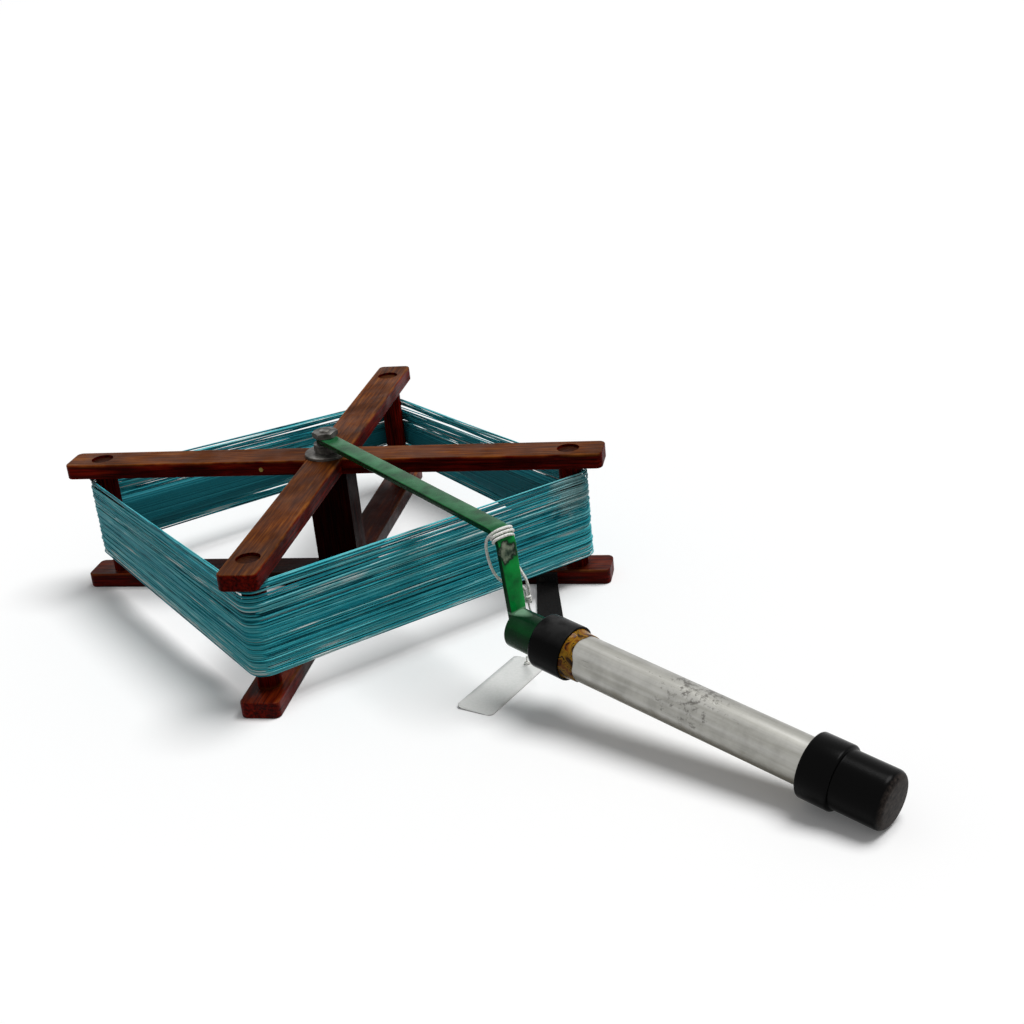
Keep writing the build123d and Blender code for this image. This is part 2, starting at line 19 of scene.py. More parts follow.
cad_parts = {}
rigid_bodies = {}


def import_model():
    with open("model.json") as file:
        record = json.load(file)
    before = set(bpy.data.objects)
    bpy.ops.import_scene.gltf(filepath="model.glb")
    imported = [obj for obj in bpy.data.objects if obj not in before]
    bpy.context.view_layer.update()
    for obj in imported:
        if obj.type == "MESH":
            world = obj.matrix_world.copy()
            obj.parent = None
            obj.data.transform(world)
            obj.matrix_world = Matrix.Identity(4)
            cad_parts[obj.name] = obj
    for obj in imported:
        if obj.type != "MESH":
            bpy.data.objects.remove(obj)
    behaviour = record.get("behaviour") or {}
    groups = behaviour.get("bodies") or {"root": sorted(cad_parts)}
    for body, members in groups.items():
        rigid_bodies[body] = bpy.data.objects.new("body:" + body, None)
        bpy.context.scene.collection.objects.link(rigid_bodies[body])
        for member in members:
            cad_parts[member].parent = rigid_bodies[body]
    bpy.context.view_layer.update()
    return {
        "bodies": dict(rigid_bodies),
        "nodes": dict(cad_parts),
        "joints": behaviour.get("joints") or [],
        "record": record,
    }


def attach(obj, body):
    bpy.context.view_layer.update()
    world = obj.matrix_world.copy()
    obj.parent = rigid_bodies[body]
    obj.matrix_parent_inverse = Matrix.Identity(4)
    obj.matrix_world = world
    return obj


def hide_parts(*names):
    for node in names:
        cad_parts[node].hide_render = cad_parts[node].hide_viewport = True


LOG = logging.getLogger("line_winder")
MM = 0.001

Flat = tuple[float, float]
Point = tuple[float, float, float]
Posts = tuple[float, float, float, float]
Tones = tuple[str, str, str, str]
Materials = dict[str, bpy.types.Material]
Socket = bpy.types.NodeSocket

# Settings of a Mix node that lays a colour over another, and of one that darkens it by another
COVER = {"data_type": "RGBA"}
DARKEN = {"data_type": "RGBA", "blend_type": "MULTIPLY"}

# The handle's sloping axis: the way it runs, where the tube's side of it starts, and its own frame
STRAP_AZIMUTH = -46.0
HANDLE_AXIS = Vector((0.85012, -0.51080, -0.12798)).normalized()
HANDLE_START = Vector((124.106, -129.292, 37.469))
HANDLE_LEVEL = Vector((0, 0, 1)).cross(HANDLE_AXIS).normalized()
HANDLE_FRAME = Matrix.Translation(HANDLE_START) @ Matrix(
    (HANDLE_AXIS, HANDLE_LEVEL, HANDLE_AXIS.cross(HANDLE_LEVEL))
).transposed().to_4x4()


class Grain(Enum):
    """The axis that a wooden piece's grain runs along."""

    ALONG_X = 0
    ALONG_Y = 1
    ALONG_Z = 2


class Body(Enum):
    """The two bodies that the axle joins."""

    STAND = "frame"
    HANDLE = "handle"


# ---------------------------------------------------------------- shapes


def strap_point(side: float, height: float, reach: float) -> Vector:
    """Places a point of the strap's upright plane.

    Args:
        side: Distance across the strap, to its left looking outwards.
        height: Height above the ground.
        reach: Distance outwards from the axle.

    Returns:
        The point in millimetres.
    """
    turn = math.radians(STRAP_AZIMUTH)
    return Vector((
        reach * math.cos(turn) - side * math.sin(turn),
        reach * math.sin(turn) + side * math.cos(turn),
        height,
    ))


def finish_mesh(bm: bmesh.types.BMesh, name: str, sharp_angle: float = 35.0) -> bpy.types.Object:
    """Turns a bmesh in millimetres into an object at the origin, smooth but for its sharp edges.

    Args:
        bm: The finished shape, which is freed.
        name: The object's name.
        sharp_angle: Edges that turn more than this many degrees stay sharp.

    Returns:
        The new object.
    """
    bmesh.ops.scale(bm, vec=(MM, MM, MM), verts=bm.verts)
    mesh = bpy.data.meshes.new(name)
    bm.to_mesh(mesh)
    bm.free()
    mesh.shade_smooth()
    mesh.set_sharp_from_angle(angle=math.radians(sharp_angle))
    piece = bpy.data.objects.new(name, mesh)
    bpy.context.scene.collection.objects.link(piece)
    return piece


def hand_over(
    piece: bpy.types.Object,
    body: Body,
    material: bpy.types.Material,
    replaced: Sequence[str] = (),
) -> bpy.types.Object:
    """Dresses a piece, lets it ride on its body and hides the solids that it stands for.

    Args:
        piece: The new object.
        body: The body that it moves with.
        material: The finish.
        replaced: CAD nodes that the piece replaces.

    Returns:
        The same object.
    """
    piece.data.materials.clear()
    piece.data.materials.append(material)
    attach(piece, body.value)
    if replaced:
        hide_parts(*replaced)
    LOG.info("piece %s rides on %s", piece.name, body.value)
    return piece


def add_wall(piece: bpy.types.Object, thickness: float, offset: float) -> None:
    """Gives an open surface its thickness.

    Args:
        piece: The object with the surface.
        thickness: The wall's thickness.
        offset: The side it grows to: 1 is the side that faces look to, -1 the other.
    """
    wall = piece.modifiers.new("wall", "SOLIDIFY")
    wall.thickness = thickness * MM
    wall.offset = offset


def rectangle(length: float, width: float) -> list[Flat]:
    """Gives a rectangle's corners, with its middle at nought."""
    x, y = length / 2, width / 2
    return [(-x, -y), (x, -y), (x, y), (-x, y)]


def rounded(points: Sequence[Flat], radii: Sequence[float], steps: int = 6) -> list[Flat]:
    """Rounds the corners of a flat outline.

    Args:
        points: The outline's corners.
        radii: One radius for each corner, nought where it stays sharp.
        steps: Number of segments in each arc.

    Returns:
        The outline's points with the arcs in place of the corners.
    """
    outline: list[Flat] = []
    for i, (corner, radius) in enumerate(zip(points, radii)):
        here = Vector(corner)
        if radius <= 0:
            outline.append(tuple(here))
            continue
        before = (Vector(points[i - 1]) - here).normalized()
        after = (Vector(points[(i + 1) % len(points)]) - here).normalized()
        half = before.angle(after) / 2
        cut = radius / math.tan(half)
        centre = here + (before + after).normalized() * (radius / math.sin(half))
        start = here + before * cut - centre
        sweep = math.copysign(math.pi - 2 * half, start.cross(here + after * cut - centre))
        for step in range(steps + 1):
            outline.append(tuple(centre + Matrix.Rotation(sweep * step / steps, 2) @ start))
    return outline


def turn_profile(profile: Sequence[Flat], steps: int = 96) -> bmesh.types.BMesh:
    """Turns a profile into a round solid, as on a lathe.

    Args:
        profile: Closed loop of distances along the axis, which is X, and radii.
        steps: Number of facets round the axis.

    Returns:
        The shape in millimetres, with its normals outwards.
    """
    bm = bmesh.new()
    verts = [bm.verts.new((along, 0.0, radius)) for along, radius in profile]
    edges = [bm.edges.new((a, b)) for a, b in zip(verts, verts[1:])]
    if profile[0][1] > 1e-6 or profile[-1][1] > 1e-6:
        edges.append(bm.edges.new((verts[-1], verts[0])))
    bmesh.ops.spin(
        bm, geom=verts + edges, cent=(0, 0, 0), axis=(1, 0, 0), angle=math.tau, steps=steps,
        use_merge=True,
    )
    bmesh.ops.remove_doubles(bm, verts=bm.verts, dist=1e-4)
    bmesh.ops.recalc_face_normals(bm, faces=bm.faces)
    return bm


def sweep_section(section: Sequence[Flat], stations: Sequence[Matrix]) -> bmesh.types.BMesh:
    """Extrudes a flat section from station to station.

    Args:
        section: The section's outline in its own Y and Z.
        stations: One matrix per station; X points along the sweep.

    Returns:
        The closed shape, with its normals outwards.
    """
    bm = bmesh.new()
    face = bm.faces.new([bm.verts.new(stations[0] @ Vector((0, y, z))) for y, z in section])
    for previous, station in zip(stations, stations[1:]):
        grown = bmesh.ops.extrude_face_region(bm, geom=[face])
        face = next(item for item in grown["geom"] if isinstance(item, bmesh.types.BMFace))
        bmesh.ops.transform(bm, matrix=station @ previous.inverted(), verts=face.verts)
    bmesh.ops.recalc_face_normals(bm, faces=bm.faces)
    return bm


def station_at(place: Vector, along: Vector, across: Vector, width: float = 1.0) -> Matrix:
    """Builds one station of a sweep.

    Args:
        place: Where the section's middle goes.
        along: The direction of the sweep.
        across: The section's Y direction, square to the sweep.
        width: Factor on the section's width.

    Returns:
        The station's matrix.
    """
    x, y = along.normalized(), across.normalized()
    turn = Matrix((x, y * width, x.cross(y))).transposed().to_4x4()
    return Matrix.Translation(place) @ turn


def thread_curve(
    name: str, points: Iterable[Vector | Point], diameter: float, smooth: bool = True
) -> bpy.types.Object:
    """Makes a round cord along its route.

    Args:
        name: The object's name.
        points: The route's points in millimetres.
        diameter: The cord's diameter in millimetres.
        smooth: Whether the points guide one smooth line, or are joined by short runs.

    Returns:
        The curve object.
    """
    data = bpy.data.curves.new(name, "CURVE")
    data.dimensions = "3D"
    data.bevel_depth = diameter / 2 * MM
    data.bevel_resolution = 3
    data.use_fill_caps = True
    data.resolution_u = 10
    route = [Vector(point) * MM for point in points]
    spline = data.splines.new("NURBS" if smooth else "POLY")
    spline.points.add(len(route) - 1)
    for target, point in zip(spline.points, route):
        target.co = (*point, 1.0)
    if smooth:
        spline.order_u = 3
        spline.use_endpoint_u = True
    piece = bpy.data.objects.new(name, data)
    bpy.context.scene.collection.objects.link(piece)
    return piece


def tie_string(
    name: str, route: Iterable[Vector | Point], diameter: float, cotton: bpy.types.Material, node: str
) -> bpy.types.Object:
    """Makes one length of white string that turns with the handle.

    Args:
        name: The piece's name.
        route: Its points in millimetres.
        diameter: Its diameter in millimetres.
        cotton: The string's finish.
        node: The CAD node it stands for.

    Returns:
        The string.
    """
    return hand_over(thread_curve(name, route, diameter), Body.HANDLE, cotton, [node])


def as_mesh(piece: bpy.types.Object) -> bpy.types.Object:
    """Swaps a curve object for the mesh it draws.

    Args:
        piece: The curve object, which is removed.

    Returns:
        A mesh object of the same name.
    """
    name = piece.name
    bpy.context.view_layer.update()
    drawn = piece.evaluated_get(bpy.context.evaluated_depsgraph_get())
    mesh = bpy.data.meshes.new_from_object(drawn)
    bpy.data.objects.remove(piece)
    mesh.name = name
    mesh.shade_smooth()
    made = bpy.data.objects.new(name, mesh)
    bpy.context.scene.collection.objects.link(made)
    return made


# ---------------------------------------------------------------- patterns


def srgb(code: str) -> tuple[float, float, float, float]:
    """Turns a hex colour to the linear colour that shaders take.

    Args:
        code: Six hex digits after a hash.

    Returns:
        Red, green, blue and an alpha of one.
    """
    parts = [int(code[i:i + 2], 16) / 255 for i in (1, 3, 5)]
    linear = [part / 12.92 if part <= 0.04045 else ((part + 0.055) / 1.055) ** 2.4 for part in parts]
    return (linear[0], linear[1], linear[2], 1.0)


def add_node(
    tree: bpy.types.NodeTree,
    kind: str,
    inputs: dict[str, Any] | Sequence[Any] = (),
    output: str = "",
    stops: Sequence[tuple[float, str]] = (),
    **settings: Any,
) -> Socket:
    """Adds one shader node with its settings, values and links.

    Args:
        tree: The node tree that gets the node.
        kind: The node's type, without the leading "ShaderNode".
        inputs: Values or sockets for the inputs that the node shows, by name or in their order.
        output: Name of the output that is wanted, or nothing for the first one that it shows.
        stops: Positions and hex colours of a colour ramp.
        **settings: Properties set on the node itself.

    Returns:
        The wanted output's socket.
    """
    node = tree.nodes.new("ShaderNode" + kind)
    for name, value in settings.items():
        setattr(node, name, value)
    if stops:
        ramp = node.color_ramp
        while len(ramp.elements) < len(stops):
            ramp.elements.new(0.5)
        for element, (position, colour) in zip(ramp.elements, stops):
            element.position = position
            element.color = srgb(colour)
    shown = [socket for socket in node.inputs if socket.enabled]
    if isinstance(inputs, dict):
        by_name = {socket.name: socket for socket in shown}
        pairs = [(by_name[name], value) for name, value in inputs.items()]
    else:
        pairs = list(zip(shown, inputs))
    for socket, value in pairs:
        if isinstance(value, Socket):
            tree.links.new(value, socket)
        else:
            socket.default_value = value
    return node.outputs[output] if output else next(socket for socket in node.outputs if socket.enabled)


def object_place(tree: bpy.types.NodeTree, scale: Point = (1, 1, 1)) -> Socket:
    """Gives object coordinates in millimetres, stretched along each axis.

    Args:
        tree: The node tree.
        scale: How much finer the pattern gets along each axis.

    Returns:
        The vector's socket.
    """
    place = add_node(tree, "TexCoord", output="Object")
    return add_node(tree, "Mapping", {"Vector": place, "Scale": tuple(part / MM for part in scale)})


def handle_place(tree: bpy.types.NodeTree) -> Socket:
    """Gives the place in millimetres on the handle: X runs along the tube, Z is its upper side.

    Args:
        tree: The node tree.

    Returns:
        The vector's socket.
    """
    return add_node(tree, "Mapping", {
        "Vector": add_node(tree, "TexCoord", output="Object"),
        "Location": tuple(HANDLE_FRAME.translation * MM),
        "Rotation": tuple(HANDLE_FRAME.to_euler()),
        "Scale": (MM, MM, MM),
    }, vector_type="TEXTURE")


def facing_up(tree: bpy.types.NodeTree, start: float, full: float, most: float = 1.0) -> Socket:
    """Masks what faces up, where hands rub and where a sheen is painted.

    Args:
        tree: The node tree.
        start: Upward part of the normal at which the mask starts.
        full: Upward part of the normal from which it is full.
        most: The full mask's strength.

    Returns:
        The mask's socket.
    """
    upward = add_node(tree, "SeparateXYZ", [add_node(tree, "TexCoord", output="Normal")], "Z")
    return add_node(tree, "MapRange", {
        "Value": upward, "From Min": start, "From Max": full, "To Max": most,
    })


def off_level(
    tree: bpy.types.NodeTree, place: Socket, level: float, start: float, full: float, most: float = 1.0
) -> Socket:
    """Masks by the distance from a level, to both sides of it.

    Args:
        tree: The node tree.
        place: The place along one axis.
        level: The level on that axis.
        start: Distance from the level at which the mask starts.
        full: Distance at which it is full, less than start for a band on the level itself.
        most: The full mask's strength.

    Returns:
        The mask's socket.
    """
    off = add_node(tree, "Math", (place, level), operation="SUBTRACT")
    gap = add_node(tree, "Math", [off], operation="ABSOLUTE")
    return add_node(tree, "MapRange", {
        "Value": gap, "From Min": start, "From Max": full, "To Max": most,
    })


# ---------------------------------------------------------------- finishes


@dataclass(frozen=True)
class Finish:
    """What a surface is made of and how it was worked.

    The colour and roughness are its plain values; most finishes paint over them. Dark finishes have
    a low specular level, because the white sky would make them pale at flat angles.
    """

    name: str
    colour: str
    roughness: float
    metallic: float = 0.0
    specular: float = 0.5
    sheen: float = 0.0

    def material(self) -> bpy.types.Material:
        """Builds the material, with its constants on the shader's own sockets.

        Returns:
            The new material.
        """
        made = bpy.data.materials.new(self.name)
        made.use_nodes = True
        tree = made.node_tree
        shader = tree.nodes["Principled BSDF"]
        for name, value in (
            ("Base Color", srgb(self.colour)), ("Roughness", self.roughness),
            ("Metallic", self.metallic), ("Specular IOR Level", self.specular),
            ("Sheen Weight", self.sheen),
        ):
            shader.inputs[name].default_value = value
        for name, socket in self.paint(tree).items():
            tree.links.new(socket, shader.inputs[name])
        return made

    def paint(self, tree: bpy.types.NodeTree) -> dict[str, Socket]:
        """Draws the pattern, wear and relief; a plain finish has none.

        Args:
            tree: The material's nodes.

        Returns:
            What drives the shader, by the name of its input.
        """
        return {}


@dataclass(frozen=True)
class VarnishedWood(Finish):
    """Old hardwood under dark red-brown varnish: deep on the sides, brown on top with wear and a painted
    sheen.
    """

    grain: Grain = Grain.ALONG_X
    fibre_stretch: float = 0.05
    half_width: float = 10.0
    upper_edge: float = 76.2
    lower_edge: float = 8.5
    top_tones: Tones = ("#2e1406", "#51260b", "#6c3810", "#8c551f")
    shaded_within: float = 0.0
    shade_fade: float = 12.0

    def paint(self, tree: bpy.types.NodeTree) -> dict[str, Socket]:
        """Draws grain lines about 1 mm wide, worn edges, dark pores and painted shade near the axle.

        Args:
            tree: The material's nodes.

        Returns:
            What drives the shader, by the name of its input.
        """
        stretch = [1.0, 1.0, 1.0]
        stretch[self.grain.value] = self.fibre_stretch
        along_grain = object_place(tree, tuple(stretch))
        place = object_place(tree)
        fibres = add_node(tree, "TexNoise", {
            "Vector": along_grain, "Scale": 0.75, "Detail": 6.0, "Roughness": 0.62,
        })
        side_tone = add_node(tree, "ValToRGB", [fibres], stops=(
            (0.30, "#1a0302"), (0.46, "#4c0803"), (0.60, "#7a1205"), (0.78, "#96300c"),
        ))
        # Brown upward faces: worn varnish and a painted sheen of the sky
        top_tone = add_node(
            tree, "ValToRGB", [fibres], stops=tuple(zip((0.28, 0.44, 0.58, 0.76), self.top_tones)),
        )
        tone = add_node(tree, "Mix", (facing_up(tree, 0.55, 0.95), side_tone, top_tone), **COVER)
        # Varnish rubbed through along the edges, in uneven patches
        across = add_node(tree, "SeparateXYZ", [place], "X" if self.grain is Grain.ALONG_Y else "Y")
        height = add_node(tree, "SeparateXYZ", [place], "Z")
        near_side = off_level(tree, across, 0.0, self.half_width - 1.9, self.half_width - 0.2)
        near_upper = off_level(tree, height, self.upper_edge, 1.7, 0.3)
        near_lower = off_level(tree, height, self.lower_edge, 1.7, 0.3)
        near_level = add_node(tree, "Math", (near_upper, near_lower), operation="MAXIMUM")
        on_edge = add_node(tree, "Math", (near_side, near_level), operation="MULTIPLY")
        rub = add_node(tree, "TexNoise", {"Vector": place, "Scale": 0.06, "Detail": 5.0})
        rubbed = add_node(tree, "MapRange", {
            "Value": rub, "From Min": 0.40, "From Max": 0.66, "To Max": 0.75,
        })
        wear = add_node(tree, "Math", (on_edge, rubbed), operation="MULTIPLY")
        worn = add_node(tree, "Mix", (wear, tone, srgb("#a5622a")), **COVER)
        # Clouds in the varnish, a few centimetres across
        clouds = add_node(tree, "TexNoise", {
            "Vector": place, "Scale": 0.035, "Detail": 3.0, "Roughness": 0.55,
        })
        shade = add_node(tree, "MapRange", {
            "Value": clouds, "From Min": 0.38, "From Max": 0.66, "To Min": 0.55, "To Max": 1.08,
        })
        clouded = add_node(tree, "Mix", (1.0, worn, shade), **DARKEN)
        # Short dark pores and pin pricks
        pores = add_node(tree, "TexVoronoi", {"Vector": along_grain, "Scale": 1.1})
        unpitted = add_node(tree, "MapRange", {
            "Value": pores, "From Min": 0.08, "From Max": 0.18, "To Min": 0.6, "To Max": 1.0,
        })
        pitted = add_node(tree, "Mix", (1.0, clouded, unpitted), **DARKEN)
        # Wood near the axle is painted nearly black as the shade inside the winding
        off_axle = add_node(tree, "VectorMath", [object_place(tree, (1, 1, 0))], operation="LENGTH")
        unshaded = add_node(tree, "MapRange", {
            "Value": off_axle, "From Min": self.shaded_within - self.shade_fade,
            "From Max": self.shaded_within, "To Min": 0.16, "To Max": 1.0,
        })
        axle_shaded = add_node(tree, "Mix", (1.0, pitted, unshaded), **DARKEN)
        gloss = add_node(tree, "MapRange", {
            "Value": rub, "From Min": 0.35, "From Max": 0.65, "To Min": 0.30, "To Max": 0.55,
        })
        relief = add_node(tree, "Bump", {"Height": fibres, "Strength": 0.35, "Distance": 0.0004})
        pits = add_node(tree, "Bump", {
            "Height": unpitted, "Strength": 0.4, "Distance": 0.0003, "Normal": relief,
        })
        return {"Base Color": axle_shaded, "Roughness": gloss, "Normal": pits}


@dataclass(frozen=True)
class DulledMetal(Finish):
    """Small metal parts gone dull with age: cloudy, and darker where dirt or rust has settled."""

    tones: Tones = ("#1c1815", "#3a3733", "#5d5b56", "#83817c")

    def paint(self, tree: bpy.types.NodeTree) -> dict[str, Socket]:
        """Draws a cloudy surface with stains a few millimetres across.

        Args:
            tree: The material's nodes.

        Returns:
            What drives the shader, by the name of its input.
        """
        cloud = add_node(tree, "TexNoise", {"Vector": object_place(tree), "Scale": 0.2, "Detail": 4.0})
        tone = add_node(
            tree, "ValToRGB", [cloud], stops=tuple(zip((0.30, 0.44, 0.60, 0.75), self.tones)),
        )
        gloss = add_node(tree, "MapRange", {
            "Value": cloud, "From Min": 0.3, "From Max": 0.7, "To Min": 0.6, "To Max": 0.34,
        })
        relief = add_node(tree, "Bump", {"Height": cloud, "Strength": 0.3, "Distance": 0.0003})
        return {"Base Color": tone, "Roughness": gloss, "Normal": relief}


@dataclass(frozen=True)
class BrushedEnamel(Finish):
    """Green enamel, brushed on: glossy, painted sheen on top, painted shade on edges and below, chipped at
    bend.
    """

    chip_place: Point = (0.0, 0.0, 0.0)
    chip_size: float = 7.0
    foot_height: float = 46.6

    def paint(self, tree: bpy.types.NodeTree) -> dict[str, Socket]:
        """Draws a painted sheen on top, painted shade on the edges and socket, a chipped patch and a pale
        weld.

        Args:
            tree: The material's nodes.

        Returns:
            What drives the shader, by the name of its input.
        """
        place = object_place(tree)
        streaks = add_node(tree, "TexNoise", {"Vector": place, "Scale": 0.11, "Detail": 4.0})
        vivid = add_node(tree, "ValToRGB", [streaks], stops=(
            (0.32, "#056a2e"), (0.52, "#08943e"), (0.70, "#0caa4a"),
        ))
        # Greyer green on upward faces is a painted sheen of the sky
        sheened = add_node(tree, "ValToRGB", [streaks], stops=(
            (0.34, "#143f27"), (0.50, "#245238"), (0.68, "#37634a"),
        ))
        faced = add_node(tree, "Mix", (facing_up(tree, 0.6, 0.97, 0.85), vivid, sheened), **COVER)
        # The strap's narrow edges, and the socket below, are painted nearly black as shade
        normal = add_node(tree, "TexCoord", output="Normal")
        sideways = add_node(tree, "VectorMath", (normal, strap_point(-1, 0, 0)), operation="DOT_PRODUCT")
        edgewise = off_level(tree, sideways, 0.0, 0.66, 0.86, 0.9)
        height = add_node(tree, "SeparateXYZ", [place], "Z")
        on_socket = add_node(tree, "MapRange", {
            "Value": height, "From Min": self.foot_height + 1.0, "From Max": self.foot_height - 1.0,
            "To Max": 0.86,
        })
        painted_shade = add_node(tree, "Math", (edgewise, on_socket), operation="MAXIMUM")
        shade_darkened = add_node(tree, "Mix", (painted_shade, faced, srgb("#02170b")), **COVER)
        # Chipped patch: bare grey-green primer with a dark rim
        away = add_node(tree, "VectorMath", (place, self.chip_place), operation="DISTANCE")
        ragged = add_node(tree, "TexNoise", {"Vector": place, "Scale": 0.30, "Detail": 5.0})
        reach = add_node(tree, "MapRange", {
            "Value": ragged, "From Min": 0.25, "From Max": 0.75,
            "To Min": self.chip_size * 0.7, "To Max": self.chip_size * 1.2,
        })
        inside = add_node(tree, "Math", (reach, away), operation="SUBTRACT")
        rim = add_node(tree, "MapRange", {"Value": inside, "From Min": -1.0, "From Max": 0.2})
        bare = add_node(tree, "MapRange", {
            "Value": inside, "From Min": 0.2, "From Max": 1.6, "To Max": 0.9,
        })
        primer = add_node(tree, "ValToRGB", [ragged], stops=(
            (0.36, "#22352a"), (0.46, "#4c5e4c"), (0.56, "#7c8a74"), (0.66, "#9ca48e"),
        ))
        rimmed = add_node(tree, "Mix", (rim, shade_darkened, srgb("#12241a")), **COVER)
        chipped = add_node(tree, "Mix", (bare, rimmed, primer), **COVER)
        # Pale bead of weld where the strap's foot meets the socket
        bead = off_level(tree, height, self.foot_height, 0.9, 0.3, 0.6)
        welded = add_node(tree, "Mix", (bead, chipped, srgb("#8fb79a")), **COVER)
        gloss = add_node(tree, "MapRange", {
            "Value": ragged, "From Min": 0.35, "From Max": 0.65, "To Min": 0.14, "To Max": 0.32,
        })
        coat = add_node(tree, "Math", (streaks, bare), operation="SUBTRACT")
        relief = add_node(tree, "Bump", {"Height": coat, "Strength": 0.35, "Distance": 0.0004})
        return {"Base Color": welded, "Roughness": gloss, "Normal": relief}


@dataclass(frozen=True)
class MouldedRubber(Finish):
    """Black moulded rubber, with a painted grey sheen where it faces up."""

    sheen_colour: str = "#2b2b2b"

    def paint(self, tree: bpy.types.NodeTree) -> dict[str, Socket]:
        """Draws a painted grey sheen on top and a fine grit.

        Args:
            tree: The material's nodes.

        Returns:
            What drives the shader, by the name of its input.
        """
        place = object_place(tree)
        sheen_cloud = add_node(tree, "TexNoise", {"Vector": place, "Scale": 0.14, "Detail": 6.0})
        cloudy = add_node(tree, "MapRange", {"Value": sheen_cloud, "From Min": 0.3, "From Max": 0.6})
        # Grey on upward faces is a painted sheen
        rubbed = add_node(tree, "Math", (facing_up(tree, 0.55, 1.0), cloudy), operation="MULTIPLY")
        tone = add_node(tree, "Mix", (rubbed, srgb(self.colour), srgb(self.sheen_colour)), **COVER)
        grit = add_node(tree, "TexNoise", {"Vector": place, "Scale": 1.6, "Detail": 3.0})
        relief = add_node(tree, "Bump", {"Height": grit, "Strength": 0.15, "Distance": 0.0002})
        return {"Base Color": tone, "Normal": relief}


@dataclass(frozen=True)
class MottledShellac(Finish):
    """Amber shellac that has run and dried in rings, with brown rims."""

    rings: float = 8.0

    def paint(self, tree: bpy.types.NodeTree) -> dict[str, Socket]:
        """Draws amber pools a few millimetres across with thin brown outlines.

        Args:
            tree: The material's nodes.

        Returns:
            What drives the shader, by the name of its input.
        """
        pools = add_node(tree, "TexNoise", {
            "Vector": object_place(tree), "Scale": 0.12, "Detail": 2.0, "Distortion": 1.0,
        })
        tone = add_node(tree, "ValToRGB", [pools], stops=(
            (0.30, "#1c0f03"), (0.40, "#553506"), (0.50, "#a0761a"), (0.60, "#703b09"), (0.72, "#241304"),
        ))
        bands = add_node(tree, "Math", (pools, self.rings), operation="MULTIPLY")
        off_rim = add_node(tree, "Math", (bands, 0.5), operation="PINGPONG")
        pool = add_node(tree, "MapRange", {"Value": off_rim, "From Min": 0.03, "From Max": 0.11})
        outlined = add_node(tree, "Mix", (pool, srgb("#1d0f05"), tone), **COVER)
        relief = add_node(tree, "Bump", {"Height": pools, "Strength": 0.4, "Distance": 0.0005})
        return {"Base Color": outlined, "Normal": relief}


@dataclass(frozen=True)
class WornAluminium(Finish):
    """Drawn aluminium tube, dulled by use, with grey pits, scratches, painted reflection bands and browner
    below.
    """

    pit_patch: Point = (101.0, 1.0, 10.5)

    def paint(self, tree: bpy.types.NodeTree) -> dict[str, Socket]:
        """Draws long bands, drawing marks and painted reflection, corrosion pits, slanting scratches,
        browner lower side.

        Args:
            tree: The material's nodes.

        Returns:
            What drives the shader, by the name of its input.
        """
        place = handle_place(tree)
        # Long bands round the tube: partly drawing marks, partly a painted reflection
        drawn_place = add_node(tree, "Mapping", {"Vector": place, "Scale": (0.03, 1.0, 1.0)})
        drawn = add_node(tree, "TexNoise", {"Vector": drawn_place, "Scale": 0.42, "Detail": 5.0})
        tone = add_node(tree, "ValToRGB", [drawn], stops=(
            (0.30, "#97968f"), (0.48, "#a3a29c"), (0.62, "#adaca7"), (0.78, "#b8b7b2"),
        ))
        # Dull smudges, a centimetre or two across, where hands have held it
        cloud = add_node(tree, "TexNoise", {
            "Vector": place, "Scale": 0.11, "Detail": 6.0, "Roughness": 0.6,
        })
        smudge = add_node(tree, "MapRange", {
            "Value": cloud, "From Min": 0.36, "From Max": 0.60, "To Min": 0.82, "To Max": 1.0,
        })
        smudged = add_node(tree, "Mix", (1.0, tone, smudge), **DARKEN)
        # Pits gather in a patch on the upper side, half way along, with a few strays
        spread = add_node(tree, "VectorMath", (place, self.pit_patch), operation="DISTANCE")
        patch = add_node(tree, "MapRange", {"Value": spread, "From Min": 30.0, "From Max": 4.0})
        blots = add_node(tree, "TexNoise", {
            "Vector": place, "Scale": 0.34, "Detail": 7.0, "Roughness": 0.7,
        })
        pitting = add_node(tree, "Math", (patch, 0.22, blots), operation="MULTIPLY_ADD")
        pits = add_node(tree, "MapRange", {
            "Value": pitting, "From Min": 0.67, "From Max": 0.79, "To Max": 0.75,
        })
        pitted = add_node(tree, "Mix", (pits, smudged, srgb("#4b4844")), **COVER)
        # Browner and darker towards the lower side, uneven at its upper edge
        height = add_node(tree, "SeparateXYZ", [place], "Z")
        uneven = add_node(tree, "Math", (cloud, 7.0, height), operation="MULTIPLY_ADD")
        low = add_node(tree, "MapRange", {
            "Value": uneven, "From Min": 2.5, "From Max": -5.0, "To Max": 0.8,
        })
        browned_below = add_node(tree, "Mix", (low, pitted, srgb("#6b5f45")), **COVER)
        # Fine scratches at a slant
        slanted = add_node(tree, "Mapping", {
            "Vector": place, "Rotation": (0.0, 0.2, 0.55), "Scale": (0.12, 2.2, 2.2),
        })
        lines = add_node(tree, "TexNoise", {"Vector": slanted, "Scale": 0.6, "Detail": 2.0})
        scratches = add_node(tree, "MapRange", {
            "Value": lines, "From Min": 0.70, "From Max": 0.74, "To Max": 0.55,
        })
        scratched = add_node(tree, "Mix", (scratches, browned_below, srgb("#716f6b")), **COVER)
        gloss = add_node(tree, "MapRange", {
            "Value": cloud, "From Min": 0.3, "From Max": 0.7, "To Min": 0.46, "To Max": 0.32,
        })
        relief = add_node(tree, "Bump", {"Height": drawn, "Strength": 0.12, "Distance": 0.0002})
        dents = add_node(tree, "Bump", {
            "Height": pits, "Strength": 0.2, "Distance": 0.0002, "Normal": relief,
        }, invert=True)
        return {"Base Color": scratched, "Roughness": gloss, "Normal": dents}


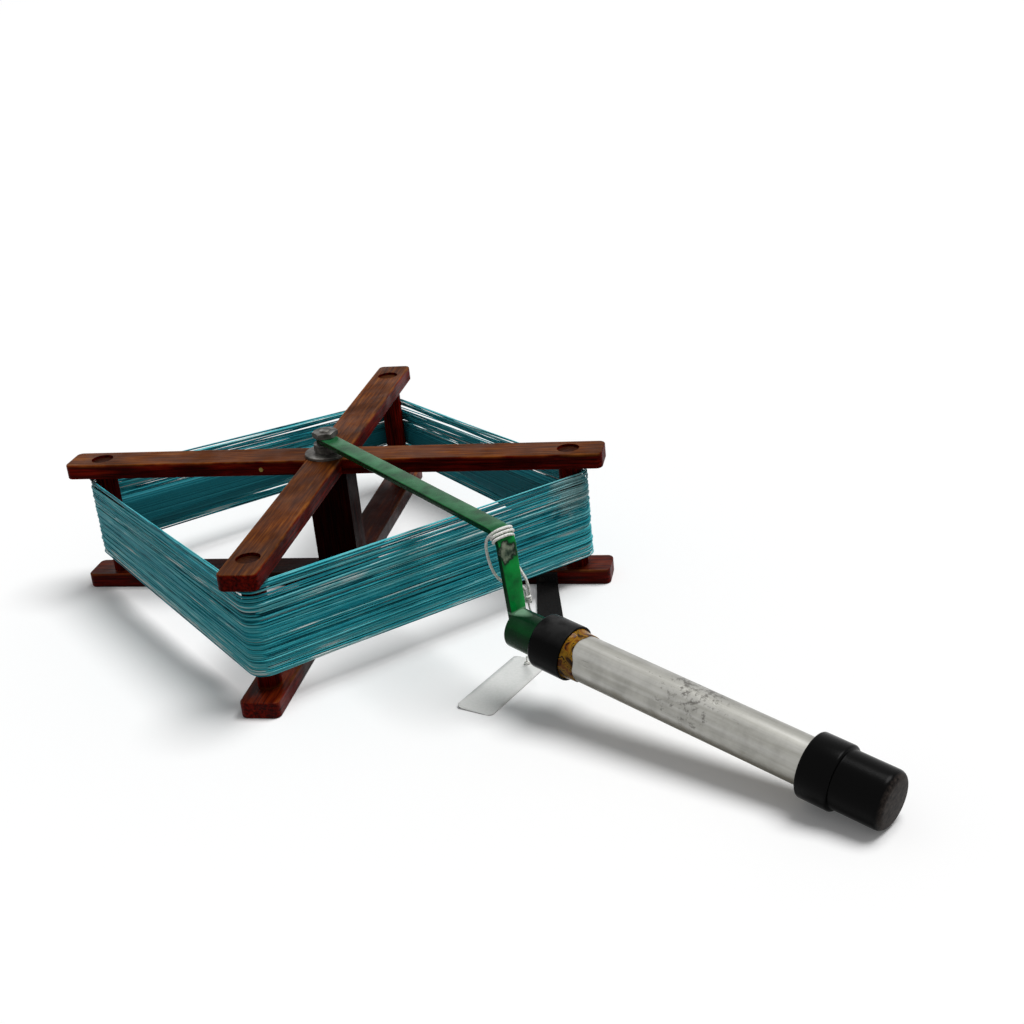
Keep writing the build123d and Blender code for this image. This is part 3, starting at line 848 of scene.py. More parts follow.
@dataclass(frozen=True)
class GlossyPlastic(Finish):
    """Black moulded plastic, glossy round the side and scuffed grey-brown on its end."""

    scuff_colour: str = "#3b3430"
    scuff_from: float = 194.6

    def paint(self, tree: bpy.types.NodeTree) -> dict[str, Socket]:
        """Draws a faint unevenness all over and scuffs on the end face.

        Args:
            tree: The material's nodes.

        Returns:
            What drives the shader, by the name of its input.
        """
        place = handle_place(tree)
        scuffs = add_node(tree, "TexNoise", {
            "Vector": place, "Scale": 0.5, "Detail": 7.0, "Roughness": 0.7,
        })
        along = add_node(tree, "SeparateXYZ", [place], "X")
        at_end = add_node(tree, "MapRange", {
            "Value": along, "From Min": self.scuff_from - 1.2, "From Max": self.scuff_from,
        })
        rubbed = add_node(tree, "MapRange", {"Value": scuffs, "From Min": 0.36, "From Max": 0.62})
        amount = add_node(tree, "Math", (at_end, rubbed), operation="MULTIPLY")
        tone = add_node(tree, "Mix", (amount, srgb(self.colour), srgb(self.scuff_colour)), **COVER)
        gloss = add_node(tree, "MapRange", {"Value": at_end, "To Min": 0.24, "To Max": 0.5})
        relief = add_node(tree, "Bump", {"Height": scuffs, "Strength": 0.1, "Distance": 0.0003})
        return {"Base Color": tone, "Roughness": gloss, "Normal": relief}


@dataclass(frozen=True)
class NylonLine(Finish):
    """Teal nylon line: drawn smooth and glossy, each turn its own shade, paler where it is chafed."""

    chafed_place: Point = (137.0, -13.0, 55.0)
    chafed_reach: float = 34.0
    chafed_fade: float = 10.0

    def paint(self, tree: bpy.types.NodeTree) -> dict[str, Socket]:
        """Shades each turn by the tone stored on it, with slow changes along the line.

        Args:
            tree: The material's nodes.

        Returns:
            What drives the shader, by the name of its input.
        """
        turn_tone = add_node(tree, "Attribute", output="Fac", attribute_name="turn_tone")
        drift = add_node(tree, "TexNoise", {
            "Vector": object_place(tree, (0.1, 0.1, 1.0)), "Scale": 0.5, "Detail": 3.0,
        })
        drifted = add_node(tree, "Math", (drift, turn_tone), operation="ADD")
        shade = add_node(tree, "Math", (drifted, 0.5), operation="SUBTRACT")
        # The near white top of the ramp, reached by the glint turns, is a painted glint
        teal = add_node(tree, "ValToRGB", [shade], stops=(
            (0.04, "#0a4a55"), (0.26, "#249fae"), (0.54, "#45bcc6"), (0.82, "#78ced3"), (0.97, "#e6f5f3"),
        ))
        # Chafed pale patch near the right post
        away = add_node(
            tree, "VectorMath", (object_place(tree), self.chafed_place), operation="DISTANCE",
        )
        streaks = add_node(tree, "TexNoise", {
            "Vector": object_place(tree, (0.35, 0.35, 1.0)), "Scale": 0.55, "Detail": 5.0,
        })
        ragged = add_node(tree, "Math", (streaks, self.chafed_reach, away), operation="MULTIPLY_ADD")
        chafed = add_node(tree, "MapRange", {
            "Value": ragged, "From Min": self.chafed_reach,
            "From Max": self.chafed_reach - self.chafed_fade, "To Max": 0.8,
        })
        return {"Base Color": add_node(tree, "Mix", (chafed, teal, srgb("#a3c9c9")), **COVER)}


@dataclass(frozen=True)
class WoundLayers(Finish):
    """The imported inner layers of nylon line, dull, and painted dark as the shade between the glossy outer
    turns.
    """

    def paint(self, tree: bpy.types.NodeTree) -> dict[str, Socket]:
        """Draws turns about 1 mm apart, coarser than real line, that follow the winding's slope.

        Args:
            tree: The material's nodes.

        Returns:
            What drives the shader, by the name of its input.
        """
        height = add_node(tree, "Attribute", output="Fac", attribute_name="wound_height")
        shade = add_node(tree, "TexNoise", {
            "Vector": add_node(tree, "CombineXYZ", {"Z": height}),
            "Scale": 45.0, "Detail": 5.0, "Roughness": 0.7,
        })
        # The dark teal here is painted shade between the outer turns
        teal = add_node(tree, "ValToRGB", [shade], stops=(
            (0.36, "#062a32"), (0.50, "#1f7d8a"), (0.68, "#4fb0b9"),
        ))
        relief = add_node(tree, "Bump", {"Height": shade, "Strength": 0.8, "Distance": 0.0006})
        return {"Base Color": teal, "Normal": relief}


@dataclass(frozen=True)
class TwistedCotton(Finish):
    """White cotton string: soft, matt, and a little fuzzy."""

    def paint(self, tree: bpy.types.NodeTree) -> dict[str, Socket]:
        """Draws soft shadows between the plies and a fine fuzz.

        Args:
            tree: The material's nodes.

        Returns:
            What drives the shader, by the name of its input.
        """
        fuzz = add_node(tree, "TexNoise", {"Vector": object_place(tree), "Scale": 1.3, "Detail": 4.0})
        tone = add_node(tree, "ValToRGB", [fuzz], stops=(
            (0.30, "#c8c7bf"), (0.48, "#efefe9"), (0.65, "#faf9f6"),
        ))
        relief = add_node(tree, "Bump", {"Height": fuzz, "Strength": 0.6, "Distance": 0.0004})
        return {"Base Color": tone, "Normal": relief}


@dataclass(frozen=True)
class TagCard(Finish):
    """Blank light grey card with a smooth face and soft fibres."""

    def paint(self, tree: bpy.types.NodeTree) -> dict[str, Socket]:
        """Draws faint fibres about 1 mm across.

        Args:
            tree: The material's nodes.

        Returns:
            What drives the shader, by the name of its input.
        """
        fibres = add_node(tree, "TexNoise", {"Vector": object_place(tree), "Scale": 0.9, "Detail": 4.0})
        tone = add_node(tree, "ValToRGB", [fibres], stops=((0.35, "#d8d9d6"), (0.65, "#dfdfdd")))
        relief = add_node(tree, "Bump", {"Height": fibres, "Strength": 0.05, "Distance": 0.0001})
        return {"Base Color": tone, "Normal": relief}


@dataclass(frozen=True)
class BlackLeather(Finish):
    """Black leather, matt, with a pebbled grain of about 1 mm."""

    def paint(self, tree: bpy.types.NodeTree) -> dict[str, Socket]:
        """Draws the pebbles of the grain and its dark folds.

        Args:
            tree: The material's nodes.

        Returns:
            What drives the shader, by the name of its input.
        """
        pebbles = add_node(tree, "TexVoronoi", {"Vector": object_place(tree), "Scale": 0.9})
        tone = add_node(tree, "ValToRGB", [pebbles], stops=((0.0, "#1a1918"), (0.7, "#0d0c0c")))
        relief = add_node(tree, "Bump", {
            "Height": pebbles, "Strength": 0.4, "Distance": 0.0003,
        }, invert=True)
        return {"Base Color": tone, "Normal": relief}


# ---------------------------------------------------------------- sub-assemblies


@dataclass
class PhotoCamera:
    """The camera's place and lens, fitted to the stand's corners in the photograph."""

    place: Point = (258.352, -736.844, 360.891)
    azimuth: float = -12.155
    elevation: float = 23.100
    roll: float = -5.718
    focal_pixels: float = 1500.1
    frame_pixels: float = 1024.0
    sensor: float = 36.0

    def build(self) -> None:
        """Makes the camera and sets it as the scene's own."""
        azimuth, elevation, roll = (
            math.radians(angle) for angle in (self.azimuth, self.elevation, self.roll)
        )
        back = Vector((
            -math.sin(azimuth) * math.cos(elevation), -math.cos(azimuth) * math.cos(elevation),
            math.sin(elevation),
        ))
        right = (-back).cross(Vector((0, 0, 1))).normalized()
        up = back.cross(right)
        rolled_right = right * math.cos(roll) + up * math.sin(roll)
        rolled_up = up * math.cos(roll) - right * math.sin(roll)
        data = bpy.data.cameras.new("photo_camera")
        data.sensor_width = self.sensor
        data.lens = self.focal_pixels / self.frame_pixels * self.sensor
        data.clip_start = 0.01
        data.clip_end = 50.0
        camera = bpy.data.objects.new("photo_camera", data)
        camera.matrix_world = Matrix.Translation(Vector(self.place) * MM) @ Matrix(
            (rolled_right, rolled_up, back)
        ).transposed().to_4x4()
        bpy.context.scene.collection.objects.link(camera)
        bpy.context.scene.camera = camera


@dataclass
class SwingTag:
    """Blank card tag with its hole, lying on the ground with one long edge curled up a little."""

    length: float = 54.0
    width: float = 20.0
    thickness: float = 0.5
    corner: float = 2.5
    hole_inset: float = 5.0
    hole_radius: float = 1.3
    azimuth: float = 68.2
    hole_place: Flat = (120.91, -98.86)
    lift: float = 0.02
    curl: float = 1.1
    least_curl: float = 0.25
    cuts_along: int = 18
    cuts_across: int = 8

    def build(self, card: bpy.types.Material) -> bpy.types.Object:
        """Cuts the card with its hole and curls it.

        Args:
            card: The card's finish.

        Returns:
            The tag.
        """
        half_length, half_width = self.length / 2, self.width / 2
        hole_along = half_length - self.hole_inset
        bm = bmesh.new()
        outline = rounded(rectangle(self.length, self.width), [self.corner] * 4, steps=5)
        rim = [bm.verts.new((x, y, 0)) for x, y in outline]
        hole = bmesh.ops.create_circle(
            bm, segments=20, radius=self.hole_radius, matrix=Matrix.Translation((hole_along, 0, 0)),
        )["verts"]
        edges = [bm.edges.new((a, b)) for a, b in zip(rim, rim[1:] + rim[:1])]
        edges += list({edge for vert in hole for edge in vert.link_edges})
        bmesh.ops.triangle_fill(bm, edges=edges, use_beauty=True, normal=(0, 0, 1))
        for size, cuts, direction in (
            (self.length, self.cuts_along, Vector((1, 0, 0))),
            (self.width, self.cuts_across, Vector((0, 1, 0))),
        ):
            for step in range(1, cuts):
                bmesh.ops.bisect_plane(
                    bm, geom=bm.verts[:] + bm.edges[:] + bm.faces[:],
                    plane_co=direction * (size * step / cuts - size / 2), plane_no=direction,
                )
        for vert in bm.verts:
            across = max(0.0, vert.co.y - self.hole_radius) / (half_width - self.hole_radius)
            along = (half_length - vert.co.x) / self.length
            vert.co.z = self.curl * across ** 2 * (self.least_curl + (1 - self.least_curl) * along)
        bmesh.ops.recalc_face_normals(bm, faces=bm.faces)
        if next(iter(bm.faces)).normal.z < 0:
            bmesh.ops.reverse_faces(bm, faces=bm.faces)
        turn = Matrix.Rotation(math.radians(self.azimuth), 4, "Z")
        hole_offset = turn @ Vector((hole_along, 0, 0))
        place = Matrix.Translation(Vector((*self.hole_place, self.lift)) - hole_offset)
        bmesh.ops.transform(bm, matrix=place @ turn, verts=bm.verts)
        tag = finish_mesh(bm, "card_tag")
        hand_over(tag, Body.HANDLE, card, ["swing_tag"])
        add_wall(tag, self.thickness, 1.0)
        return tag


@dataclass(frozen=True)
class StringKnot:
    """A small knot, wound as a tight upright coil of string."""

    name: str
    node: str
    axis: Flat
    heights: Flat
    radius: float
    diameter: float
    turns: int
    steps_a_turn: int = 12

    def build(self, cotton: bpy.types.Material) -> bpy.types.Object:
        """Winds the knot.

        Args:
            cotton: The string's finish.

        Returns:
            The knot.
        """
        steps = self.turns * self.steps_a_turn
        low, high = self.heights
        points = []
        for step in range(steps + 1):
            angle = math.tau * self.turns * step / steps
            points.append(Vector((*self.axis, 0)) + Vector((
                self.radius * math.cos(angle), self.radius * math.sin(angle),
                low + (high - low) * step / steps,
            )))
        return tie_string(self.name, points, self.diameter, cotton, self.node)


@dataclass
class TiedString:
    """White string tied round the strap's bend, its knot beside the leg, and the thread to the tag."""

    string_diameter: float = 1.4
    thread_diameter: float = 0.9
    wrap_route: tuple[Point, ...] = (
        (113.79, -126.33, 80.86), (117.03, -129.69, 86.08), (125.52, -121.49, 86.08),
        (122.98, -118.85, 81.98), (115.47, -128.07, 80.72), (118.02, -130.70, 84.82),
        (126.51, -122.51, 84.82), (123.96, -119.87, 80.72), (116.46, -129.09, 79.45),
        (119.00, -131.72, 83.55), (127.49, -123.53, 83.55), (124.25, -120.17, 78.33),
    )
    left_route: tuple[Point, ...] = (
        (113.79, -126.33, 80.86), (112.60, -124.90, 77.88), (113.00, -125.00, 71.50),
        (114.60, -125.40, 64.60), (118.00, -125.40, 59.00), (122.85, -123.40, 57.00),
        (128.85, -122.56, 55.00), (128.85, -122.56, 50.20),
    )
    right_route: tuple[Point, ...] = (
        (124.25, -120.17, 78.33), (121.89, -117.73, 74.53), (123.61, -118.65, 68.50),
        (126.54, -119.95, 62.50), (130.27, -122.02, 57.00), (130.27, -122.02, 50.20),
    )
    thread_route: tuple[Point, ...] = (
        (129.56, -122.29, 46.60), (129.56, -122.29, 43.00), (131.66, -119.85, 37.40),
        (131.97, -118.02, 28.00), (129.77, -114.44, 17.00), (126.12, -108.28, 8.50),
        (123.44, -103.36, 6.20), (120.91, -98.86, 5.40), (120.91, -98.86, 1.80),
    )
    joining_knot: StringKnot = StringKnot(
        "string_tie", "string_knot", (129.56, -122.29), (46.9, 49.9), radius=1.15, diameter=1.3, turns=3,
    )
    tag_knot: StringKnot = StringKnot(
        "tag_tie", "tag_knot", (120.91, -98.86), (0.6, 1.7), radius=0.95, diameter=0.9, turns=2,
    )

    def build(self, finishes: Materials) -> None:
        """Makes the knots, the tag, the wrap, the two hanging ends and the thread to the tag.

        Args:
            finishes: Materials by slot name.
        """
        cotton = finishes["white_string"]
        below = self.joining_knot.build(cotton)
        in_tag = self.tag_knot.build(cotton)
        tag = SwingTag().build(finishes["tag_card"])
        tie_string("string_round_bend", self.wrap_route, self.string_diameter, cotton, "string_wrap")
        left = tie_string("string_left_end", self.left_route, self.string_diameter, cotton, "string_left")
        right = tie_string(
            "string_right_end", self.right_route, self.string_diameter, cotton, "string_right",
        )
        thread = tie_string(
            "tag_thread_line", self.thread_route, self.thread_diameter, cotton, "tag_thread",
        )


@dataclass
class BentStrap:
    """Green steel strap: straight over the stand, bent down, and twisted into the socket."""

    width: float = 9.5
    thickness: float = 3.2
    edge: float = 0.55
    middle_height: float = 84.7
    tail: float = 1.5
    tail_from: float = 6.0
    bend_start: float = 169.105
    bend_radius: float = 7.6
    lean: float = 6.4
    twist: float = 13.275
    leg_top: Flat = (176.657, 77.947)
    leg_foot: Flat = (180.7, 41.9)
    tail_steps: int = 6
    run_steps: int = 8
    bend_steps: int = 10
    leg_steps: int = 12

    def build(self, enamel: bpy.types.Material) -> None:
        """Sweeps the strap's section along its line.

        Args:
            enamel: The strap's finish.
        """
        section = rounded(rectangle(self.width, self.thickness), [self.edge] * 4, steps=3)
        across, outwards = strap_point(1, 0, 0), strap_point(0, 0, 1)
        stations: list[Matrix] = []
        # Round tail behind the bolt, then straight out to the bend
        for step in range(self.tail_steps + 1):
            angle = math.radians(self.tail_from + (90 - self.tail_from) * step / self.tail_steps)
            reach = -self.tail - self.width / 2 * math.cos(angle)
            place = strap_point(0, self.middle_height, reach)
            stations.append(station_at(place, outwards, across, math.sin(angle)))
        for step in range(1, self.run_steps + 1):
            place = strap_point(0, self.middle_height, self.bend_start * step / self.run_steps)
            stations.append(station_at(place, outwards, across))
        for step in range(1, self.bend_steps + 1):
            angle = math.radians((90 - self.lean) * step / self.bend_steps)
            reach = self.bend_start + self.bend_radius * math.sin(angle)
            height = self.middle_height - self.bend_radius * (1 - math.cos(angle))
            along = strap_point(0, -math.sin(angle), math.cos(angle))
            stations.append(station_at(strap_point(0, height, reach), along, across))
        lean = math.radians(self.lean)
        down = strap_point(0, -math.cos(lean), math.sin(lean))
        for step in range(1, self.leg_steps + 1):
            share = step / self.leg_steps
            reach, height = Vector(self.leg_top).lerp(Vector(self.leg_foot), share)
            turn = Matrix.Rotation(math.radians(-self.twist * share), 3, down)
            stations.append(station_at(strap_point(0, height, reach), down, turn @ across))
        strap = finish_mesh(sweep_section(section, stations), "bent_strap")
        hand_over(strap, Body.HANDLE, enamel, ["handle_strap"])


@dataclass
class HandleTube:
    """Socket, rubber sleeve, shellac, aluminium tube and end cap on the handle's sloping axis.

    The sleeve and the collar have a start and an end along the axis, and a radius. The waves of the
    shellac's uneven edge have a height, a number round the tube and a phase.
    """

    socket_radius: float = 9.55
    socket_wall: float = 2.0
    socket_length: float = 50.0
    tube_radius: float = 10.7
    tube_bore: float = 9.6
    tube_start: float = 19.1
    tube_end: float = 192.3
    play: float = 0.05
    sleeve: Point = (16.9, 34.8, 13.1)
    mouth_depth: float = 3.0
    mouth_radius: float = 12.3
    band_end: float = 40.8
    run_length: float = 1.3
    run_fade: float = 2.0
    run_waves: tuple[Point, ...] = ((1.0, 2, 0.8), (0.35, 5, 0.0), (0.1, 9, 1.0))
    collar: Point = (157.7, 172.6, 14.5)
    cap_radius: float = 13.0
    cap_end: float = 195.3

    def lathe(
        self, name: str, corners: Sequence[Flat], radii: Sequence[float], still: float = math.inf
    ) -> bpy.types.Object:
        """Turns one piece of the handle, whose far edge may have run unevenly along the tube.

        Args:
            name: The piece's name.
            corners: Its outline, as distances along the axis and radii.
            radii: Rounding of each corner.
            still: Distance along the axis up to which nothing has run.

        Returns:
            The new object.
        """
        bm = turn_profile(rounded(corners, radii))
        for vert in bm.verts:
            if vert.co.x > still:
                around = math.atan2(vert.co.z, vert.co.y)
                runs = sum(high * math.sin(waves * around + phase) for high, waves, phase in self.run_waves)
                vert.co.x += self.run_length * runs * min(1.0, (vert.co.x - still) / self.run_fade)
        bmesh.ops.transform(bm, matrix=HANDLE_FRAME, verts=bm.verts)
        return finish_mesh(bm, name)

    def build(self, finishes: Materials) -> None:
        """Makes the five pieces.

        Args:
            finishes: Materials by slot name.
        """
        wall, inner = self.socket_wall, self.socket_radius - self.socket_wall
        on_socket, grip = self.socket_radius + self.play, self.tube_radius + self.play
        start, end, radius = self.sleeve
        mouth = end - self.mouth_depth
        collar_start, collar_end, collar_radius = self.collar
        socket = self.lathe("strap_socket", [
            (0, 0), (0, self.socket_radius), (self.socket_length, self.socket_radius),
            (self.socket_length, inner), (wall, inner), (wall, 0),
        ], [0, 1.3, 0, 0, 0, 0])
        sleeve = self.lathe("grip_sleeve", [
            (start, on_socket), (start, radius), (end, radius), (end, self.mouth_radius),
            (mouth, grip), (self.tube_start, grip), (self.tube_start, on_socket),
        ], [0.3, 1.8, 0.35, 0.2, 0, 0, 0])
        # The shellac fills the sleeve's mouth and thins out along the tube
        band = self.lathe("shellac_band", [
            (mouth, self.tube_radius), (mouth, grip), (end - 0.2, self.mouth_radius - 0.25),
            (end + 1.2, grip + 0.85), (end + 3.0, grip + 0.5), (self.band_end, grip + 0.4),
            (self.band_end, self.tube_radius),
        ], [0, 0, 0.6, 1.0, 2.0, 0.35, 0], still=end + 1.0)
        tube = self.lathe("grip_tube", [
            (self.tube_start, self.tube_bore), (self.tube_start, self.tube_radius),
            (self.tube_end, self.tube_radius), (self.tube_end, self.tube_bore),
        ], [0, 0, 0, 0])
        cap = self.lathe("grip_cap", [
            (self.cap_end, 0), (self.cap_end, self.cap_radius), (collar_end, self.cap_radius),
            (collar_end, collar_radius), (collar_start, collar_radius), (collar_start, grip),
            (self.tube_end, grip), (self.tube_end, 0),
        ], [0, 3.5, 0.5, 1.3, 1.0, 0.3, 0, 0])
        for piece, slot, node in (
            (socket, "green_paint", "handle_socket"),
            (sleeve, "black_rubber", "rubber_sleeve"),
            (band, "amber_glue", "amber_band"),
            (tube, "worn_aluminium", "handle_tube"),
            (cap, "black_plastic", "end_cap"),
        ):
            hand_over(piece, Body.HANDLE, finishes[slot], [node])


@dataclass
class Winding:
    """Teal line wound on the posts: packed inner layers and one long line over them.

    Tuples of four give the right, back, left and front post, and shares go from the winding's foot
    to its top. The line lies close at the front and in separate bunches at the back, so that
    daylight shows between the strands there. It is drawn 0.84 mm thick, coarser than real line, so
    that its strands show.
    """

    post_offset: float = 133.5
    layers: int = 3
    turns: int = 56
    line_radius: float = 0.42
    first_offset: float = 7.55
    layer_step: float = 0.58
    corner_steps: int = 6
    lowest: Posts = (15.1, 16.8, 20.8, 17.6)
    highest: Posts = (63.6, 58.2, 65.8, 66.4)
    packed_from: Posts = (0.02, 0.34, 0.06, 0.02)
    packed_to: Posts = (0.74, 0.58, 0.62, 0.80)
    packed_steps: int = 4
    packed_gap: float = 0.1
    packed_wall: float = 0.9
    bunches: tuple[int, int, int, int] = (12, 8, 9, 14)
    bunch_fill: Posts = (0.82, 0.36, 0.66, 0.96)
    strays: Posts = (0.026, 0.034, 0.034, 0.010)
    slack: float = 0.22
    most_slack: float = 0.7
    loose_from: float = 0.88
    loose_height: float = 0.80
    unevenness: float = 0.03
    uneven_waves: float = 19.0
    uneven_phase: float = 2.3
    tone: float = 0.46
    tone_spread: float = 0.19
    glint_tone: float = 0.84
    glint_turns: float = 0.11
    seed: int = 11

    def ring(self, offsets: Sequence[float], heights: Sequence[float]) -> list[Vector]:
        """Gives the points of one turn round the four posts.

        Args:
            offsets: Distance of the line from each post's axis.
            heights: Height at each post.

        Returns:
            The turn's points in millimetres, from the right post round by the back.
        """
        points: list[Vector] = []
        for corner, (offset, height) in enumerate(zip(offsets, heights)):
            middle = Vector((self.post_offset, 0, height))
            middle.rotate(Matrix.Rotation(math.radians(90 * corner), 3, "Z"))
            for step in range(self.corner_steps + 1):
                angle = math.radians(90 * corner - 45 + 90 * step / self.corner_steps)
                points.append(middle + Vector((math.cos(angle), math.sin(angle), 0)) * offset)
        return points

    def height_at(self, corner: int, share: float) -> float:
        """Gives the height at a post of a share of the way up the winding."""
        return self.lowest[corner] + (self.highest[corner] - self.lowest[corner]) * share

    def bunched(self, corner: int, share: float) -> float:
        """Draws a share of the way up towards the middle of its bunch.

        Args:
            corner: Number of the post.
            share: Share of the way up, from 0 to 1.

        Returns:
            The share where the strand lies at that post.
        """
        cells = self.bunches[corner]
        middle = (min(int(share * cells), cells - 1) + 0.5) / cells
        drawn = middle + (share - middle) * self.bunch_fill[corner]
        # Bunches of unequal width, as a hand winds them
        wave = math.sin(self.uneven_waves * drawn + self.uneven_phase * corner)
        return drawn + self.unevenness * wave * math.sin(math.pi * drawn)

    def build(self, finishes: Materials) -> None:
        """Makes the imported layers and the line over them.

        Args:
            finishes: Materials by slot name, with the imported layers' own.
        """
        self.build_packed(finishes["packed_line"])
        self.build_line(finishes["teal_line"])

    def build_packed(self, material: bpy.types.Material) -> None:
        """Makes the wall of packed inner layers that the outer turns lie on.

        Args:
            material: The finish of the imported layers.
        """
        bm = bmesh.new()
        wound = bm.verts.layers.float.new("wound_height")
        rows = []
        under = self.first_offset - self.line_radius - self.packed_gap
        for step in range(self.packed_steps + 1):
            shares = [
                low + (high - low) * step / self.packed_steps
                for low, high in zip(self.packed_from, self.packed_to)
            ]
            heights = [self.height_at(corner, share) for corner, share in enumerate(shares)]
            row = [bm.verts.new(point) for point in self.ring([under] * 4, heights)]
            for index, vert in enumerate(row):
                vert[wound] = shares[index // (self.corner_steps + 1)]
            rows.append([bm.edges.new((a, b)) for a, b in zip(row, row[1:] + row[:1])])
        for lower, upper in zip(rows, rows[1:]):
            bmesh.ops.bridge_loops(bm, edges=lower + upper)
        bmesh.ops.recalc_face_normals(bm, faces=bm.faces)
        packed = finish_mesh(bm, "packed_layers")
        hand_over(packed, Body.STAND, material, ["line_core"])
        add_wall(packed, self.packed_wall, -1.0)

    def build_line(self, material: bpy.types.Material) -> None:
        """Winds one unbroken line up and down over the posts, loose near the top.

        Args:
            material: The line's finish.
        """
        dice = random.Random(self.seed)
        points: list[Vector] = []
        tones: list[float] = []
        for layer in range(self.layers):
            offset = self.first_offset + self.layer_step * layer
            for turn in range(self.turns):
                share = turn / (self.turns - 1)
                climbed = share if layer % 2 == 0 else 1 - share
                loose = max(0.0, climbed - self.loose_from) / (1 - self.loose_from)
                close = min(climbed, self.loose_from) / self.loose_from
                placed = close * self.loose_height + loose * (1 - self.loose_height)
                # Some turns are drawn near white as painted glints
                pale = dice.random() < self.glint_turns
                tone = self.glint_tone if pale else dice.gauss(self.tone, self.tone_spread)
                heights, offsets = [], []
                for corner, stray in enumerate(self.strays):
                    strayed = self.bunched(corner, placed) + dice.gauss(0, stray)
                    heights.append(self.height_at(corner, min(1.0, max(0.0, strayed))))
                    offsets.append(offset + min(self.most_slack, abs(dice.gauss(0, self.slack))))
                ring = self.ring(offsets, heights)
                points += ring
                tones += [tone] * len(ring)
        curve = thread_curve("wound_line", points, 2 * self.line_radius, smooth=False)
        curve.data.bevel_resolution = 0
        line = as_mesh(curve)
        stored = line.data.attributes.new("turn_tone", "FLOAT", "POINT")
        count = len(line.data.vertices)
        round_line = count // len(points)
        stored.data.foreach_set("value", [
            tones[min(index // round_line, len(tones) - 1)] for index in range(count)
        ])
        hand_over(line, Body.STAND, material, ["line_turns"])
        LOG.info("wound line: %d points, %d faces", len(points), len(line.data.polygons))


@dataclass
class Stand:
    """The stand's solids, which keep their own shapes and get their finishes."""

    def dress(self, finishes: Materials, frame: dict[str, Any]) -> None:
        """Gives each of the stand's solids its finish.

        Args:
            finishes: Materials by name.
            frame: The loaded model.
        """
        dressed = {
            "wood_along_x": ("top_arm_long",),
            "wood_along_y": ("top_arm_cross",),
            "foot_along_x": ("bottom_arm_long",),
            "foot_along_y": ("bottom_arm_cross",),
            "wood_upright": (
                "corner_post_right", "corner_post_back", "corner_post_left", "corner_post_front",
                "centre_post",
            ),
            "zinc_steel": ("axle_bolt", "wood_washer", "clamp_nut", "strap_washer", "lock_nut"),
            "shade_dark_steel": ("keeper_nails",),
            "brass_pin": ("line_start_pin",),
            "black_leather": ("keeper_strap",),
        }
        for finish, nodes in dressed.items():
            for node in nodes:
                mesh = frame["nodes"][node].data
                mesh.materials.clear()
                mesh.materials.append(finishes[finish])
                LOG.info("solid %s gets %s", node, finish)


@dataclass
class Studio:
    """White floor and sky, and one soft key light from nearly overhead, a little right and behind."""

    floor_size: float = 12000.0
    floor_colour: str = "#fbfbfb"
    floor_bounce: str = "#a6a6a6"
    floor_lift: float = 0.05
    sky_level: float = 0.25
    key_strength: float = 2.5
    key_from: Point = (0.32, 0.16, 0.93)
    key_spread: float = 32.0

    def build(self) -> None:
        """Makes the floor, the sky and the key light."""
        self.build_floor()
        world = bpy.data.worlds.new("studio_sky")
        bpy.context.scene.world = world
        world.use_nodes = True
        sky = world.node_tree
        background = sky.nodes["Background"]
        level = add_node(sky, "MapRange", {"Value": self.seen_as_backdrop(sky), "To Min": self.sky_level})
        background.inputs["Color"].default_value = srgb("#ffffff")
        sky.links.new(level, background.inputs["Strength"])
        data = bpy.data.lights.new("key_light", "SUN")
        data.energy = self.key_strength
        data.angle = math.radians(self.key_spread)
        lamp = bpy.data.objects.new("key_light", data)
        lamp.location = self.key_from
        lamp.rotation_euler = Vector(self.key_from).to_track_quat("Z", "Y").to_euler()
        bpy.context.scene.collection.objects.link(lamp)

    def build_floor(self) -> None:
        """Makes the floor, which keeps the object's shadow."""
        bm = bmesh.new()
        bmesh.ops.create_grid(bm, x_segments=1, y_segments=1, size=self.floor_size / 2)
        floor = finish_mesh(bm, "studio_floor")
        material = bpy.data.materials.new("studio_paper")
        material.use_nodes = True
        tree = material.node_tree
        paper = tree.nodes["Principled BSDF"]
        seen = self.seen_as_backdrop(tree)
        # White to the eye, but it throws under two fifths of the light back up at the object
        shown = add_node(tree, "Mix", (seen, srgb(self.floor_bounce), srgb(self.floor_colour)), **COVER)
        lift = add_node(tree, "MapRange", {"Value": seen, "To Max": self.floor_lift})
        tree.links.new(shown, paper.inputs["Base Color"])
        tree.links.new(lift, paper.inputs["Emission Strength"])
        paper.inputs["Roughness"].default_value = 0.9
        paper.inputs["Specular IOR Level"].default_value = 0.0
        paper.inputs["Emission Color"].default_value = srgb("#ffffff")
        floor.data.materials.append(material)

    def seen_as_backdrop(self, tree: bpy.types.NodeTree) -> Socket:
        """Tells rays that show the backdrop from rays that only light the object.

        Args:
            tree: The node tree.

        Returns:
            A socket that is one for camera, glossy and transmission rays.
        """
        camera, glossy, through = (
            add_node(tree, "LightPath", output=f"Is {kind} Ray")
            for kind in ("Camera", "Glossy", "Transmission")
        )
        mirrored = add_node(tree, "Math", (glossy, through), operation="MAXIMUM")
        return add_node(tree, "Math", (camera, mirrored), operation="MAXIMUM")


